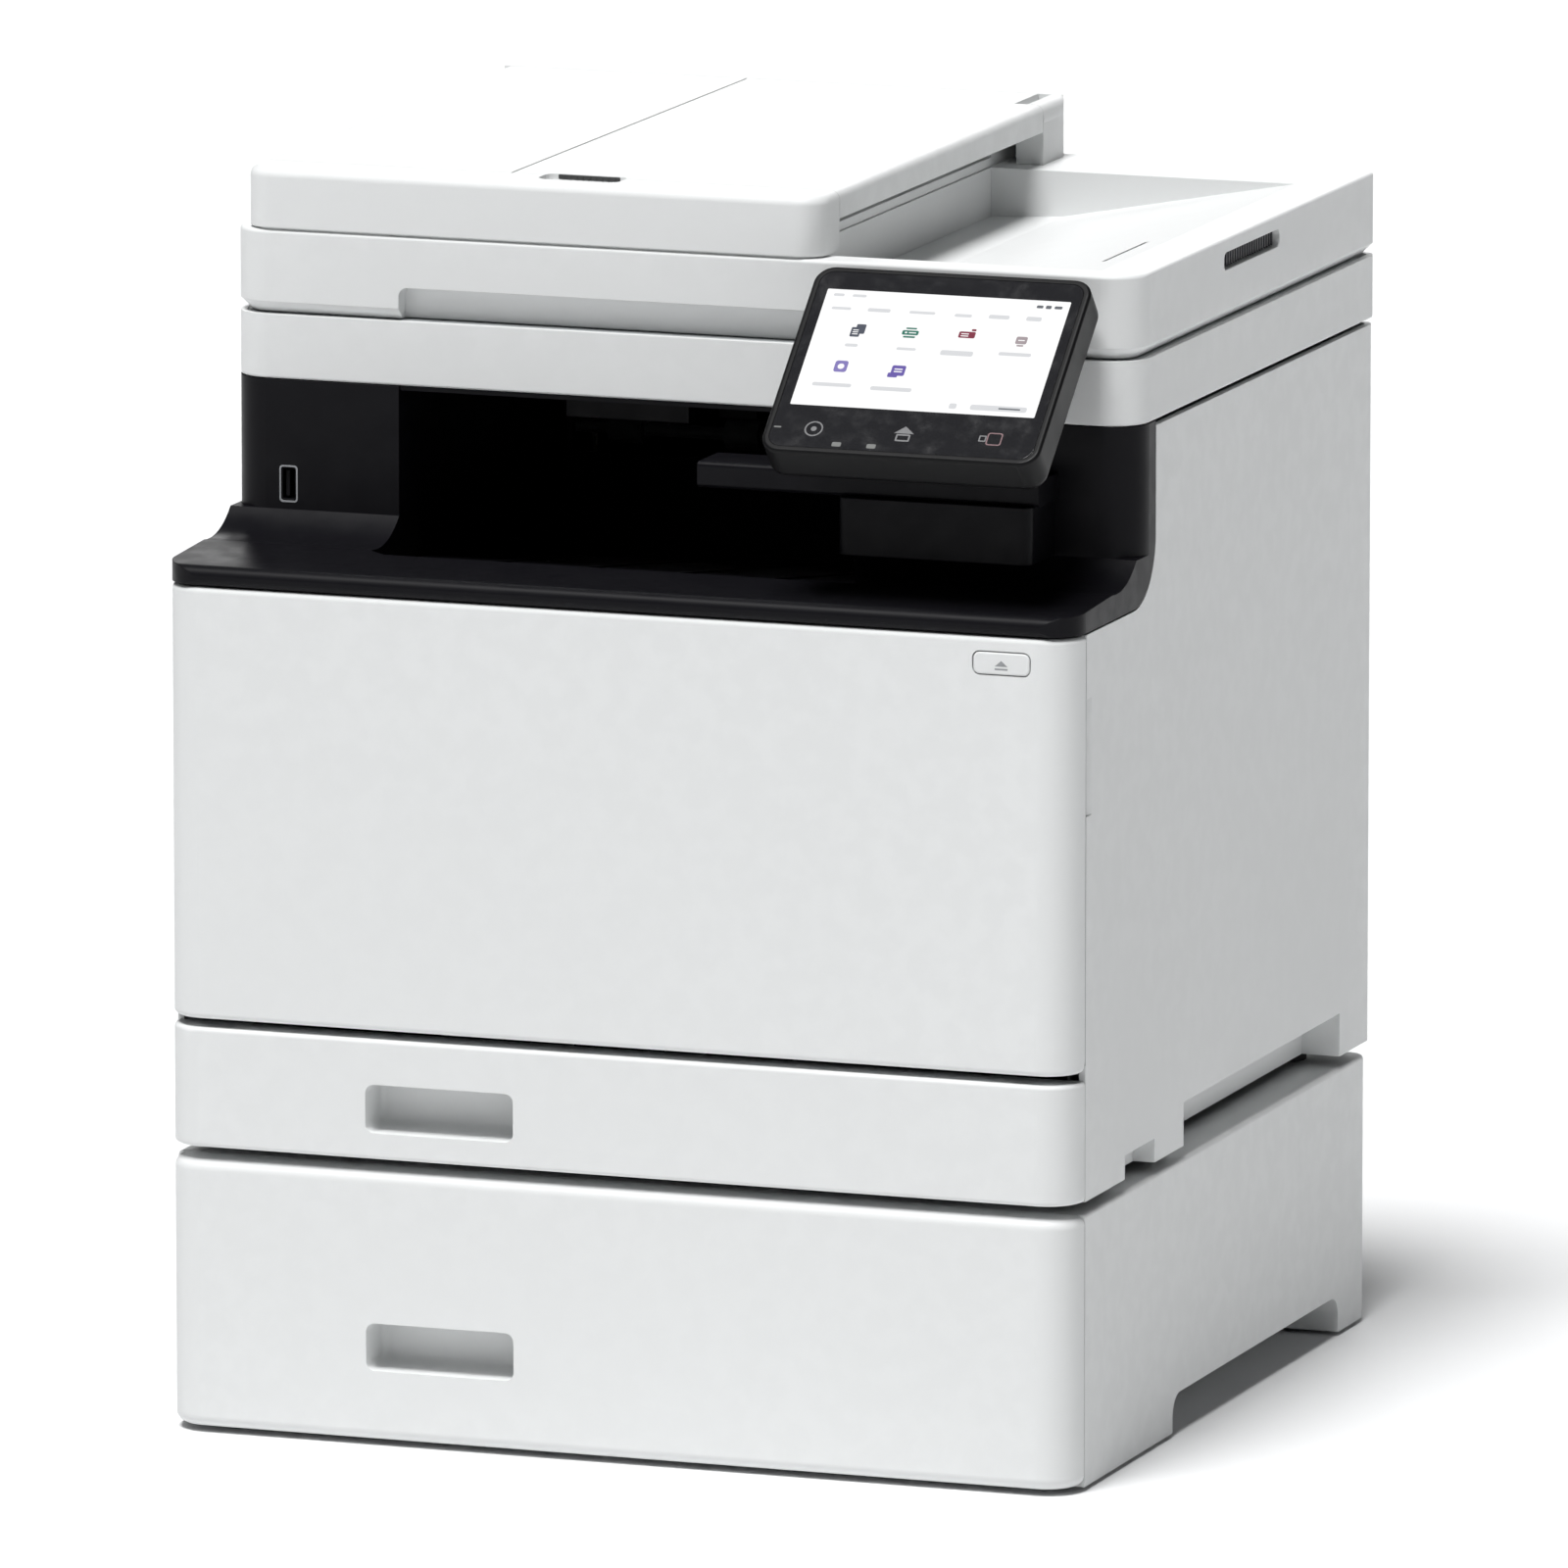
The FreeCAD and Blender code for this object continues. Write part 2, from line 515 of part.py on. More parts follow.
def build_side_cover(side):
    ring = prism(-HALF, HALF, 0, BODY_BACK, MAIN_BOTTOM, SIDE_TOP, CORNER_R, REAR_R)
    ring = ring.cut(prism(-HALF + SKIN, HALF - SKIN, SKIN, BODY_BACK - SKIN,
                          MAIN_BOTTOM - 1, SIDE_TOP + 1, CORNER_R - SKIN, REAR_R - SKIN))
    outline = side_profile(0.4, MAIN_BOTTOM, BODY_BACK + 1, SIDE_TOP)
    slab = outline.extrude(vec(16, 0, 0))
    slab.translate(vec(HALF - 15, 0, 0))
    cover = ring.common(slab)
    # carry handle: a pocket open below and outward, with a sloping roof
    pocket_out = slab_yz([(CARRY_Y0 - 2, MAIN_BOTTOM), (CARRY_Y1 + 2, MAIN_BOTTOM),
                          (CARRY_Y1 + 2, CARRY_TOP + 2), (CARRY_Y0 - 2, CARRY_TOP + 2)], HALF - 20, HALF - 1)
    pocket_in = slab_yz([(CARRY_Y0, MAIN_BOTTOM - 1), (CARRY_Y1, MAIN_BOTTOM - 1),
                         (CARRY_Y1, CARRY_TOP), (CARRY_Y0, CARRY_TOP)], HALF - 18, HALF + 1)
    low_wedge = slab_xz([(HALF - 21, CARRY_TOP + 3), (HALF - 21, CARRY_TOP - 9), (HALF - 1, CARRY_TOP + 3)],
                        CARRY_Y0 - 3, CARRY_Y1 + 3)
    roof = slab_xz([(HALF - 18, CARRY_TOP + 1), (HALF - 18, CARRY_TOP - 7), (HALF - 2, CARRY_TOP + 1)],
                   CARRY_Y0 - 1, CARRY_Y1 + 1)
    cover = cover.fuse(pocket_out).cut(pocket_in).fuse(roof.common(pocket_out)).removeSplitter()
    # shallow finger grip near the front foot
    grip_out = box(HALF - 12, HALF - 1, FRONT_GRIP_Y0 - 2, FRONT_GRIP_Y1 + 2,
                   MAIN_BOTTOM, FRONT_GRIP_TOP + 2)
    grip_in = box(HALF - 10, HALF + 1, FRONT_GRIP_Y0, FRONT_GRIP_Y1, MAIN_BOTTOM - 1, FRONT_GRIP_TOP)
    cover = cover.fuse(grip_out).cut(grip_in)
    # thumb notch that gives a hold on the door's edge
    notch = slab_xy([(HALF - DOOR_NOTCH_DEEP, SEAM_Y), (HALF + 1, SEAM_Y),
                     (HALF + 1, SEAM_Y + DOOR_NOTCH_RUN), (HALF, SEAM_Y + DOOR_NOTCH_RUN)],
                    DOOR_NOTCH_Z0, DOOR_NOTCH_Z1)
    cover = cover.cut(notch).removeSplitter()
    return cover if side > 0 else mirror_x(cover)


def build_rear_panel():
    x1 = HALF - 15.4
    panel = box(-x1, x1, BODY_BACK - SKIN, BODY_BACK, MAIN_BOTTOM, SIDE_TOP)
    opening = box(PATH_X - REAR_OPEN_HALF, PATH_X + REAR_OPEN_HALF, 400, 420, REAR_OPEN_Z0, REAR_OPEN_Z1)
    inlet = box(INLET_X - 14.2, INLET_X + 14.2, 400, 420, INLET_Z - 11.2, INLET_Z + 11.2)
    ports = box(PORTS_X - 13.2, PORTS_X + 13.2, 400, 420, PORTS_Z - 20.2, PORTS_Z + 20.2)
    switch = box(SWITCH_X - 8.4, SWITCH_X + 8.4, 400, 420, SWITCH_Z - 11.2, SWITCH_Z + 11.2)
    tools = [opening, inlet, ports, switch]
    for row in range(9):
        z = 140 + row * 7
        tools.append(box(-110, -20, 400, 420, z, z + 3))
        tools.append(box(10, 100, 400, 420, z, z + 3))
    return fuse([cut(panel, tools)] + rear_hinge_ears())


def build_rear_cover():
    x0, x1 = PATH_X - REAR_COVER_HALF, PATH_X + REAR_COVER_HALF
    front = BODY_BACK + 0.4
    block = box(x0, x1, front, REAR_COVER_BACK, REAR_COVER_Z0, REAR_COVER_Z1)
    outer_edges = edges_where(block, lambda e: at(e, y=REAR_COVER_BACK)
                              or (is_along(e, vec(0, 1, 0))))
    block = block.makeFillet(8, outer_edges)
    hollow = box(x0 + SKIN, x1 - SKIN, front - 1, REAR_COVER_BACK - SKIN,
                 REAR_COVER_Z0 + SKIN, REAR_COVER_Z1 - SKIN)
    cover = block.cut(hollow)
    slots = []
    for column in range(2):
        for row in range(8):
            z = REAR_COVER_Z1 - 34 - row * 8
            x = PATH_X - 120 + column * 130
            slots.append(box(x, x + 110, REAR_COVER_BACK - SKIN - 1, REAR_COVER_BACK + 1, z, z + 3.2))
    grip = round_slot(PATH_X - 35, PATH_X + 35, REAR_COVER_BACK - 1.6, REAR_COVER_BACK + 1, 412, 424, 4)
    cover = cut(cover, slots + [grip])
    tools = []
    for side in (-1, 1):
        x = PATH_X + side * REAR_LUG_X
        lug = rod_x(x - 3, x + 3, REAR_AXIS_Y, REAR_AXIS_Z, 3.9)
        arm = box(x - 3, x + 3, REAR_AXIS_Y, REAR_COVER_BACK - 1, REAR_AXIS_Z - 2, REAR_AXIS_Z + 3.9)
        cover = fuse([cover, lug, arm])
        # the bottom wall is open where the hinge ears reach in
        gate = box(x - 9, x + 9, front - 1, REAR_AXIS_Y + 6, REAR_COVER_Z0 - 1, REAR_COVER_Z0 + SKIN + 0.1)
        lug_zone = box(x - 3, x + 3, REAR_AXIS_Y - 4, REAR_COVER_BACK - 8, REAR_AXIS_Z - 2, REAR_AXIS_Z + 4)
        hole = rod_x(x - 4, x + 4, REAR_AXIS_Y, REAR_AXIS_Z, REAR_PIN_R + RUN_FIT)
        tools += [gate.cut(lug_zone), hole]
    # the lower front edge is rounded about the hinge, so that it turns clear of the rear panel
    heel = box(x0 - 1, x1 + 1, front - 1, REAR_AXIS_Y, REAR_COVER_Z0 - 1, REAR_AXIS_Z)
    heel = heel.cut(rod_x(x0 - 1, x1 + 1, REAR_AXIS_Y, REAR_AXIS_Z, REAR_AXIS_Y - front))
    return cut(cover, tools + [heel])


def rear_hinge_ears():
    parts = []
    for side in (-1, 1):
        x = PATH_X + side * REAR_LUG_X
        inner = x - side * 7.5
        leg0, leg1 = min(inner, inner + side * 4), max(inner, inner + side * 4)
        leg = box(leg0, leg1, BODY_BACK, REAR_AXIS_Y, REAR_AXIS_Z - 3.5, REAR_AXIS_Z + 3.5)
        head = rod_x(leg0, leg1, REAR_AXIS_Y, REAR_AXIS_Z, 3.5)
        pin = rod_x(min(inner, x + side * 4), max(inner, x + side * 4), REAR_AXIS_Y, REAR_AXIS_Z, REAR_PIN_R)
        parts += [leg, head, pin]
    return parts


# ---- output cavity and black front frame ----------------------------------------------------
def ledge_outline():
    """Side view of the front ledge: rounded nose, nearly flat top, hollow sweep up to the pillars."""
    nose = Part.Arc(vec(0, 1.0, LEDGE_BOTTOM), vec(0, -0.2, 386.0), vec(0, 5.0, 389.9)).toShape()
    top = Part.makeLine(vec(0, 5.0, 389.9), vec(0, 52.0, 392.4))
    sweep = Part.Arc(vec(0, 52.0, 392.4), vec(0, 74.0, 395.6), vec(0, UPPER_FRONT, 402.5)).toShape()
    back = [vec(0, UPPER_FRONT, 402.5), vec(0, 112.0, 402.5), vec(0, 112.0, LEDGE_BOTTOM),
            vec(0, 1.0, LEDGE_BOTTOM)]
    lines = [Part.makeLine(back[i], back[i + 1]) for i in range(3)]
    return Part.Face(Part.Wire([nose, top, sweep] + lines))


def build_front_frame():
    """Ledge and the two black pillars with their wrap-round sides."""
    ledge = ledge_outline().extrude(vec(WIDTH, 0, 0))
    ledge.translate(vec(-HALF, 0, 0))
    plan = prism(-HALF, HALF, -0.3, 200, LEDGE_BOTTOM - 5, 410, CORNER_R, 0)
    ledge = ledge.common(plan)
    # the side wings end along the same sweep as the side covers
    wing = side_profile(0, 100, 200, 500).extrude(vec(SKIN + 1.4, 0, 0))
    keep_clear = []
    for x in (-HALF - 1, HALF - SKIN - 0.4):
        piece = wing.copy()
        piece.translate(vec(x, 0, 0))
        keep_clear.append(piece)
    mouth = slab_xy([(PILLAR_LEFT_EDGE, 113), (PILLAR_LEFT_EDGE, MOUTH_Y + 6),
                     (PILLAR_LEFT_EDGE + 8, MOUTH_Y), (104, MOUTH_Y),
                     (PILLAR_RIGHT_EDGE - 1.5, 78), (PILLAR_RIGHT_EDGE - 1.5, 113)], 370, 420)
    ledge = cut(ledge, keep_clear + [mouth])
    pillars = prism(-HALF, HALF, UPPER_FRONT, 200, LEDGE_BOTTOM, SCANNER_BOTTOM - 0.3, CORNER_R, 0)
    hollow = prism(-HALF + SKIN, HALF - SKIN, UPPER_FRONT + SKIN, 201, 300, 500, CORNER_R - SKIN, 0)
    pillars = pillars.cut(hollow)
    opening = box(PILLAR_LEFT_EDGE, PILLAR_RIGHT_EDGE, 80, 201, 370, 500)
    rear_cut = box(-HALF - 1, HALF + 1, SWEEP_BACK - 0.1, 201, 300, 500)
    pillars = cut(pillars, [opening, rear_cut] + keep_clear)
    usb = round_slot(USB_X - 3.7, USB_X + 3.7, 80, 90, USB_Z - 7.7, USB_Z + 7.7, 1.2)
    ties = [box(PILLAR_LEFT_EDGE - SKIN, PILLAR_LEFT_EDGE, UPPER_FRONT, 110, LEDGE_BOTTOM + 1, 460.6),
            box(PILLAR_RIGHT_EDGE, PILLAR_RIGHT_EDGE + SKIN, UPPER_FRONT, 110, LEDGE_BOTTOM + 1, 460.6)]
    frame = fuse([ledge, pillars] + ties)
    return frame.cut(usb)


def usb_port():
    shell = round_slot(USB_X - 3.4, USB_X + 3.4, UPPER_FRONT + 0.3, 101, USB_Z - 7.4, USB_Z + 7.4, 1)
    shell = shell.cut(round_slot(USB_X - 2.9, USB_X + 2.9, UPPER_FRONT, 98, USB_Z - 6.9, USB_Z + 6.9, 0.6))
    tongue = box(USB_X - 2.0, USB_X - 0.2, UPPER_FRONT + 2, 99, USB_Z - 5.8, USB_Z + 5.8)
    return shell.fuse(tongue).removeSplitter()


def build_output_tray():
    """Sloping floor that catches the sheets, and the low walls beside it."""
    y0, z0 = MOUTH_Y + 0.2, MOUTH_Z
    y1, z1 = CAVITY_BACK - 0.3, TRAY_REAR_Z
    x0, x1 = PILLAR_LEFT_EDGE - 5.6, PILLAR_RIGHT_EDGE + 13.0
    wing_z = z_floor(WING_Y)
    floor = slab_yz([(WING_Y, wing_z), (y1, z1), (y1, z1 - SKIN), (WING_Y, wing_z - SKIN)], x0, x1)
    lip = slab_yz([(y0 + 0.4, z0 - 0.2), (WING_Y, wing_z), (WING_Y, wing_z - SKIN),
                   (y0 + 0.4, z0 - SKIN - 0.2)], x0, x1)
    reach = slab_xy([(PILLAR_LEFT_EDGE + 0.3, 113), (PILLAR_LEFT_EDGE + 0.3, MOUTH_Y + 6.4),
                     (PILLAR_LEFT_EDGE + 8.2, MOUTH_Y + 0.4), (103.2, MOUTH_Y + 0.4),
                     (PILLAR_RIGHT_EDGE - 1.9, 77.6), (PILLAR_RIGHT_EDGE - 1.9, 113)], 300, 420)
    walls = [box(x0, x0 + SKIN - 0.4, WING_Y, y1, z1 - 2, 460.2),
             box(x1 - SKIN + 0.4, x1, WING_Y, y1, z1 - 2, 460.2)]
    ribs = [slab_yz([(60, z_floor(60) - 0.5), (280, z_floor(280) - 0.5), (280, z_floor(280) + 0.9),
                     (60, z_floor(60) + 0.9)], x - 1.2, x + 1.2) for x in (-90, -46, -2, 42)]
    return fuse([floor, lip.common(reach)] + walls + ribs)


def z_floor(y):
    """Height of the output tray's floor at depth y."""
    share = (y - MOUTH_Y) / (CAVITY_BACK - MOUTH_Y)
    return MOUTH_Z + share * (TRAY_REAR_Z - MOUTH_Z)


def build_cavity_back():
    x0, x1 = PILLAR_LEFT_EDGE - 5.6, PILLAR_RIGHT_EDGE + 13.0
    wall = box(x0, x1, CAVITY_BACK, CAVITY_BACK + 3, TRAY_REAR_Z - 3, 460.2)
    slot = box(PATH_X - PAPER_W / 2 - 3, PATH_X + PAPER_W / 2 + 3, 299, 304, EXIT_Z - 10, HOOD_Z - 1)
    hood = box(x0 + SKIN, x1 - SKIN, CAVITY_BACK - 26, CAVITY_BACK, HOOD_Z, HOOD_Z + SKIN)
    ears = []
    for x in (x0 + 1, x1 - 5):
        ears.append(box(x, x + 4, CAVITY_BACK, EXIT_Y + 14, EXIT_Z - 12, HOOD_Z + 1))
    frame = fuse([wall, hood] + ears).cut(slot)
    frame = frame.cut(rod_x(x0, x1, EXIT_Y, EXIT_Z, EXIT_SHAFT_R + RUN_FIT))
    flaps = [box(PATH_X + x - 9, PATH_X + x + 9, CAVITY_BACK + 1, CAVITY_BACK + 2.2, EXIT_Z + 9, HOOD_Z)
             for x in EXIT_TYRES]
    return fuse([frame, cavity_ceiling()] + flaps)


def build_exit_roller():
    shaft = rod_x(PILLAR_LEFT_EDGE - 4, PILLAR_RIGHT_EDGE + 12, EXIT_Y, EXIT_Z, EXIT_SHAFT_R)
    tyres = [rod_x(PATH_X + x - 8, PATH_X + x + 8, EXIT_Y, EXIT_Z, 7) for x in EXIT_TYRES]
    return fuse([shaft] + tyres)


def cavity_ceiling():
    plate = box(-HALF + SKIN + 0.6, HALF - SKIN - 0.6, WING_Y, 405, 458.6, 460.6)
    step = box(PILLAR_LEFT_EDGE + 0.4, PILLAR_RIGHT_EDGE - 0.4, UPPER_FRONT + 1, WING_Y, 458.6, 460.6)
    tools = [box(PILLAR_LEFT_EDGE - 6.2, PILLAR_LEFT_EDGE - 2.2, 112, 299.9, 450, 461),
             box(PILLAR_RIGHT_EDGE + 9.6, PILLAR_RIGHT_EDGE + 13.6, 112, 299.9, 450, 461)]
    guide = box(-78, -20, 150, 262, 440, 458.6)
    return fuse([cut(plate, tools), step, guide])


# ---- toner, transfer belt, laser, fuser ------------------------------------------------------
def build_toner_drawer():
    # the front is bevelled below, so that it passes over the door as the door swings down
    outer = slab_yz([(DRAWER_FRONT, DRAWER_Z0 + 22), (DRAWER_FRONT + 20, DRAWER_Z0),
                     (DRAWER_BACK, DRAWER_Z0), (DRAWER_BACK, DRAWER_Z1), (DRAWER_FRONT, DRAWER_Z1)],
                    -DRAWER_HALF, DRAWER_HALF)
    well = slab_yz([(DRAWER_FRONT + 6, DRAWER_Z0 + 24.5), (DRAWER_FRONT + 23.5, DRAWER_Z0 + 6),
                    (DRAWER_BACK - 4, DRAWER_Z0 + 6), (DRAWER_BACK - 4, DRAWER_Z1 + 1),
                    (DRAWER_FRONT + 6, DRAWER_Z1 + 1)], -DRAWER_HALF + 4, DRAWER_HALF - 4)
    floor_slots = []
    for index in range(len(TONERS)):
        y = DRAWER_FRONT + 30 + index * CARTRIDGE_PITCH
        floor_slots.append(box(-DRAWER_HALF + 20, DRAWER_HALF - 20, y, y + 36, DRAWER_Z0 - 1, DRAWER_Z0 + 7))
    grip = round_slot(-60, 60, DRAWER_FRONT - 1, DRAWER_FRONT + 3, DRAWER_Z0 + 26, DRAWER_Z0 + 43, 6)
    rails = [box(side * DRAWER_HALF - 3, side * DRAWER_HALF + 3, DRAWER_FRONT + 10, DRAWER_BACK,
                 DRAWER_Z0 + 10, DRAWER_Z0 + 18) for side in (-1, 1)]
    return fuse([cut(outer, [well] + floor_slots + [grip])] + rails)


def build_cartridge(index):
    y0 = DRAWER_FRONT + 7.5 + index * CARTRIDGE_PITCH
    y1 = y0 + CARTRIDGE_D
    z0 = DRAWER_Z0 + 8
    z1 = CARTRIDGE_Z1
    body = slab_yz([(y0 + 16, z0), (y1 - 4, z0), (y1, z0 + 14), (y1, z1 - 26), (y1 - 20, z1),
                    (y0 + 5, z1), (y0, z1 - 8), (y0, z0 + 18)], -150, 150)
    end_shape = [(y0 + 18, z0 + 3), (y1 - 3, z0 + 3), (y1 - 3, z1 - 28), (y1 - 20, z1 - 4),
                 (y0 + 6, z1 - 4), (y0 + 3, z1 - 12), (y0 + 3, z0 + 20)]
    ends = [slab_yz(end_shape, x0, x1) for x0, x1 in ((-161, -150), (150, 161))]
    grip = box(-45, 45, y0 + 14, y0 + 30, z1 - 1, z1 + 3)
    coupling = rod_x(161, 163, y0 + 34, z0 + 40, 9)
    return fuse([body, grip, coupling] + ends)


def build_transfer_belt():
    """Belt loop round two rollers in a shallow frame, lying under the toner drawer."""
    z = 200.5
    loop = box(-130, 130, 52, 318, z - 8, z + 8)
    loop = loop.fuse(rod_x(-130, 130, 52, z, 8)).fuse(rod_x(-130, 130, 318, z, 8)).removeSplitter()
    cheeks = [box(x0, x1, 46, 324, z - 7, z + 9) for x0, x1 in ((-140, -130), (130, 140))]
    return fuse([loop] + cheeks)


def build_laser_unit():
    case = box(PATH_X - 150, PATH_X + 150, 96, 300, 326, 344)
    lid = box(PATH_X - 140, PATH_X + 140, 110, 290, 344, 346)
    windows = [box(PATH_X - 115, PATH_X + 115, 112 + i * 48, 118 + i * 48, 325, 327) for i in range(4)]
    scanner = rod_z(PATH_X, 205, 346, 348.5, 24)
    return cut(fuse([case, lid, scanner]), windows)


def build_fuser_frame():
    ends = []
    for x0 in (PATH_X - 134, PATH_X + 126):
        ends.append(box(x0, x0 + 8, 342, 403, 300, 345))
    back = box(PATH_X - 134, PATH_X + 134, 342, 344, 302, 345)
    top = box(PATH_X - 134, PATH_X + 134, 342, 366, 343, 345)
    frame = fuse(ends + [back, top])
    holes = [rod_x(PATH_X - 136, PATH_X + 136, FUSER_Y, FUSER_Z, 5 + RUN_FIT),
             rod_x(PATH_X - 136, PATH_X + 136, PRESS_Y, FUSER_Z, 4 + RUN_FIT)]
    return cut(frame, holes)


def build_roller_x(half, y, z, r, shaft_half, shaft_r):
    core = rod_x(PATH_X - half, PATH_X + half, y, z, r)
    shaft = rod_x(PATH_X - shaft_half, PATH_X + shaft_half, y, z, shaft_r)
    return core.fuse(shaft).removeSplitter()


def build_main_board():
    board = box(-197.4, -195.8, 120, 330, 205, 365)
    chips = []
    for i in range(4):
        z = 240 + 30 * (i % 2)
        chips.append(box(-195.8, -193, 150 + i * 45, 170 + i * 45, z, z + 22))
    plugs = [box(-195.8, -190, 130 + i * 24, 146 + i * 24, 350, 360) for i in range(7)]
    return fuse([board] + chips + plugs)


def build_power_supply():
    tray = box(-60, 140, 336, 404, 192, 196)
    cage = box(-60, 140, 336, 404, 196, 250)
    inner = box(-58.5, 138.5, 337.5, 402.5, 197.5, 248.5)
    vents = [box(-50 + i * 12, -44 + i * 12, 330, 410, 205, 240) for i in range(15)]
    parts = [box(-40, 0, 345, 385, 196, 235), box(20, 40, 350, 390, 196, 225),
             box(60, 110, 345, 395, 196, 230)]
    return fuse([tray, cut(cage, [inner] + vents)] + parts)


def build_drive_unit():
    plate = box(185.0, 187.0, 120, 330, 200, 320)
    motor = rod_x(187.0, 198.0, 160, 290, 24)
    gears = [rod_x(179.0, 185.0, y, z, r) for y, z, r in ((160, 260, 16), (200, 250, 18), (246, 244, 22))]
    return fuse([plate, motor] + gears)


# ---- scanner --------------------------------------------------------------------------------
def build_scanner_base():
    outer = prism(-HALF, HALF, UPPER_FRONT, ADF_BACK, SCANNER_BOTTOM, SCANNER_TOP, CORNER_R, REAR_R)
    inner = prism(-HALF + SKIN, HALF - SKIN, UPPER_FRONT + SKIN, ADF_BACK - SKIN,
                  SCANNER_BOTTOM + SKIN, SCANNER_TOP + 1, CORNER_R - SKIN, REAR_R - SKIN)
    tub = outer.cut(inner)
    low = edges_where(tub, lambda e: abs(e.BoundBox.ZMax - SCANNER_BOTTOM) < 0.02)
    tub = tub.makeFillet(1.0, low)
    ledge = prism(-HALF + SKIN, HALF - SKIN, UPPER_FRONT + SKIN, ADF_BACK - SKIN,
                  SCANNER_TOP - 7, SCANNER_TOP - 3.1, CORNER_R - SKIN, REAR_R - SKIN)
    ledge = ledge.cut(prism(-HALF + 6, HALF - 6, UPPER_FRONT + 6, ADF_BACK - 17, 480, 488, 8, 4))
    brackets = []
    for side in (-1, 1):
        x0, x1 = side_span(side, HALF - SKIN - 6, HALF - SKIN)
        brackets.append(box(x0, x1, ROD_Y - 8, ROD_Y + 8, SCANNER_BOTTOM + 2, ROD_Z + 7))
    tub = fuse([tub, ledge] + brackets)
    for side in (-1, 1):
        x0, x1 = side_span(side, HINGE_X - 14, HINGE_X + 14)
        tub = tub.cut(box(x0, x1, 404, 420, 470, 491))
    return tub.cut(rod_x(-HALF + SKIN, HALF - SKIN, ROD_Y, ROD_Z, ROD_R))


def build_scanner_top():
    top = prism(-HALF + SKIN + 0.2, HALF - SKIN - 0.2, UPPER_FRONT + SKIN + 0.2, 400.0,
                SCANNER_TOP - 3, SCANNER_TOP, CORNER_R - SKIN, 2)
    glass = box(GLASS_X0 - 0.1, GLASS_X1 + 0.1, GLASS_Y0 - 0.1, GLASS_Y1 + 0.1, 480, 492)
    strip = box(ADF_GLASS_X0 - 0.1, ADF_GLASS_X1 + 0.1, GLASS_Y0 - 0.1, GLASS_Y1 + 0.1, 480, 492)
    ledges = []
    for x0, x1 in ((GLASS_X0, GLASS_X1), (ADF_GLASS_X0, ADF_GLASS_X1)):
        for y0 in (GLASS_Y0 - 6, GLASS_Y1 - 2):
            ledges.append(box(x0 - 2, x1 + 2, y0, y0 + 8, SCANNER_TOP - 4.4, SCANNER_TOP - 3))
    return fuse([cut(top, [glass, strip])] + ledges)


def build_glass():
    """The large platen glass and the narrow strip that the document feeder is read through."""
    spans = ((GLASS_X0, GLASS_X1), (ADF_GLASS_X0, ADF_GLASS_X1))
    return Part.makeCompound([box(x0, x1, GLASS_Y0, GLASS_Y1, SCANNER_TOP - 3, SCANNER_TOP - 0.05)
                              for x0, x1 in spans])


def build_carriage():
    body = box(CARRIAGE_X0, CARRIAGE_X1, 118, 372, 474, 481.5)
    lens = box(CARRIAGE_X0 + 8, CARRIAGE_X0 + 14, 128, 362, 481.5, 483.4)
    shoe = box(CARRIAGE_X0, CARRIAGE_X1, ROD_Y - 9, ROD_Y + 9, 464.6, 474)
    return fuse([body, lens, shoe]).cut(rod_x(-FAR, FAR, ROD_Y, ROD_Z, ROD_R + RUN_FIT))


def lid_hinges():
    posts = []
    for side in (-1, 1):
        x = side * HINGE_X
        stem = box(x - 12, x + 12, 409.6, 417.6, 470.2, LID_AXIS_Z)
        head = rod_x(x - 12, x + 12, LID_AXIS_Y, LID_AXIS_Z, 4)
        pin = rod_x(x - 20, x + 20, LID_AXIS_Y, LID_AXIS_Z, LID_PIN_R)
        foot = box(x - 12, x + 12, 404.4, 417.6, 470.2, 474)
        posts.append(fuse([stem, head, pin, foot]))
    return posts


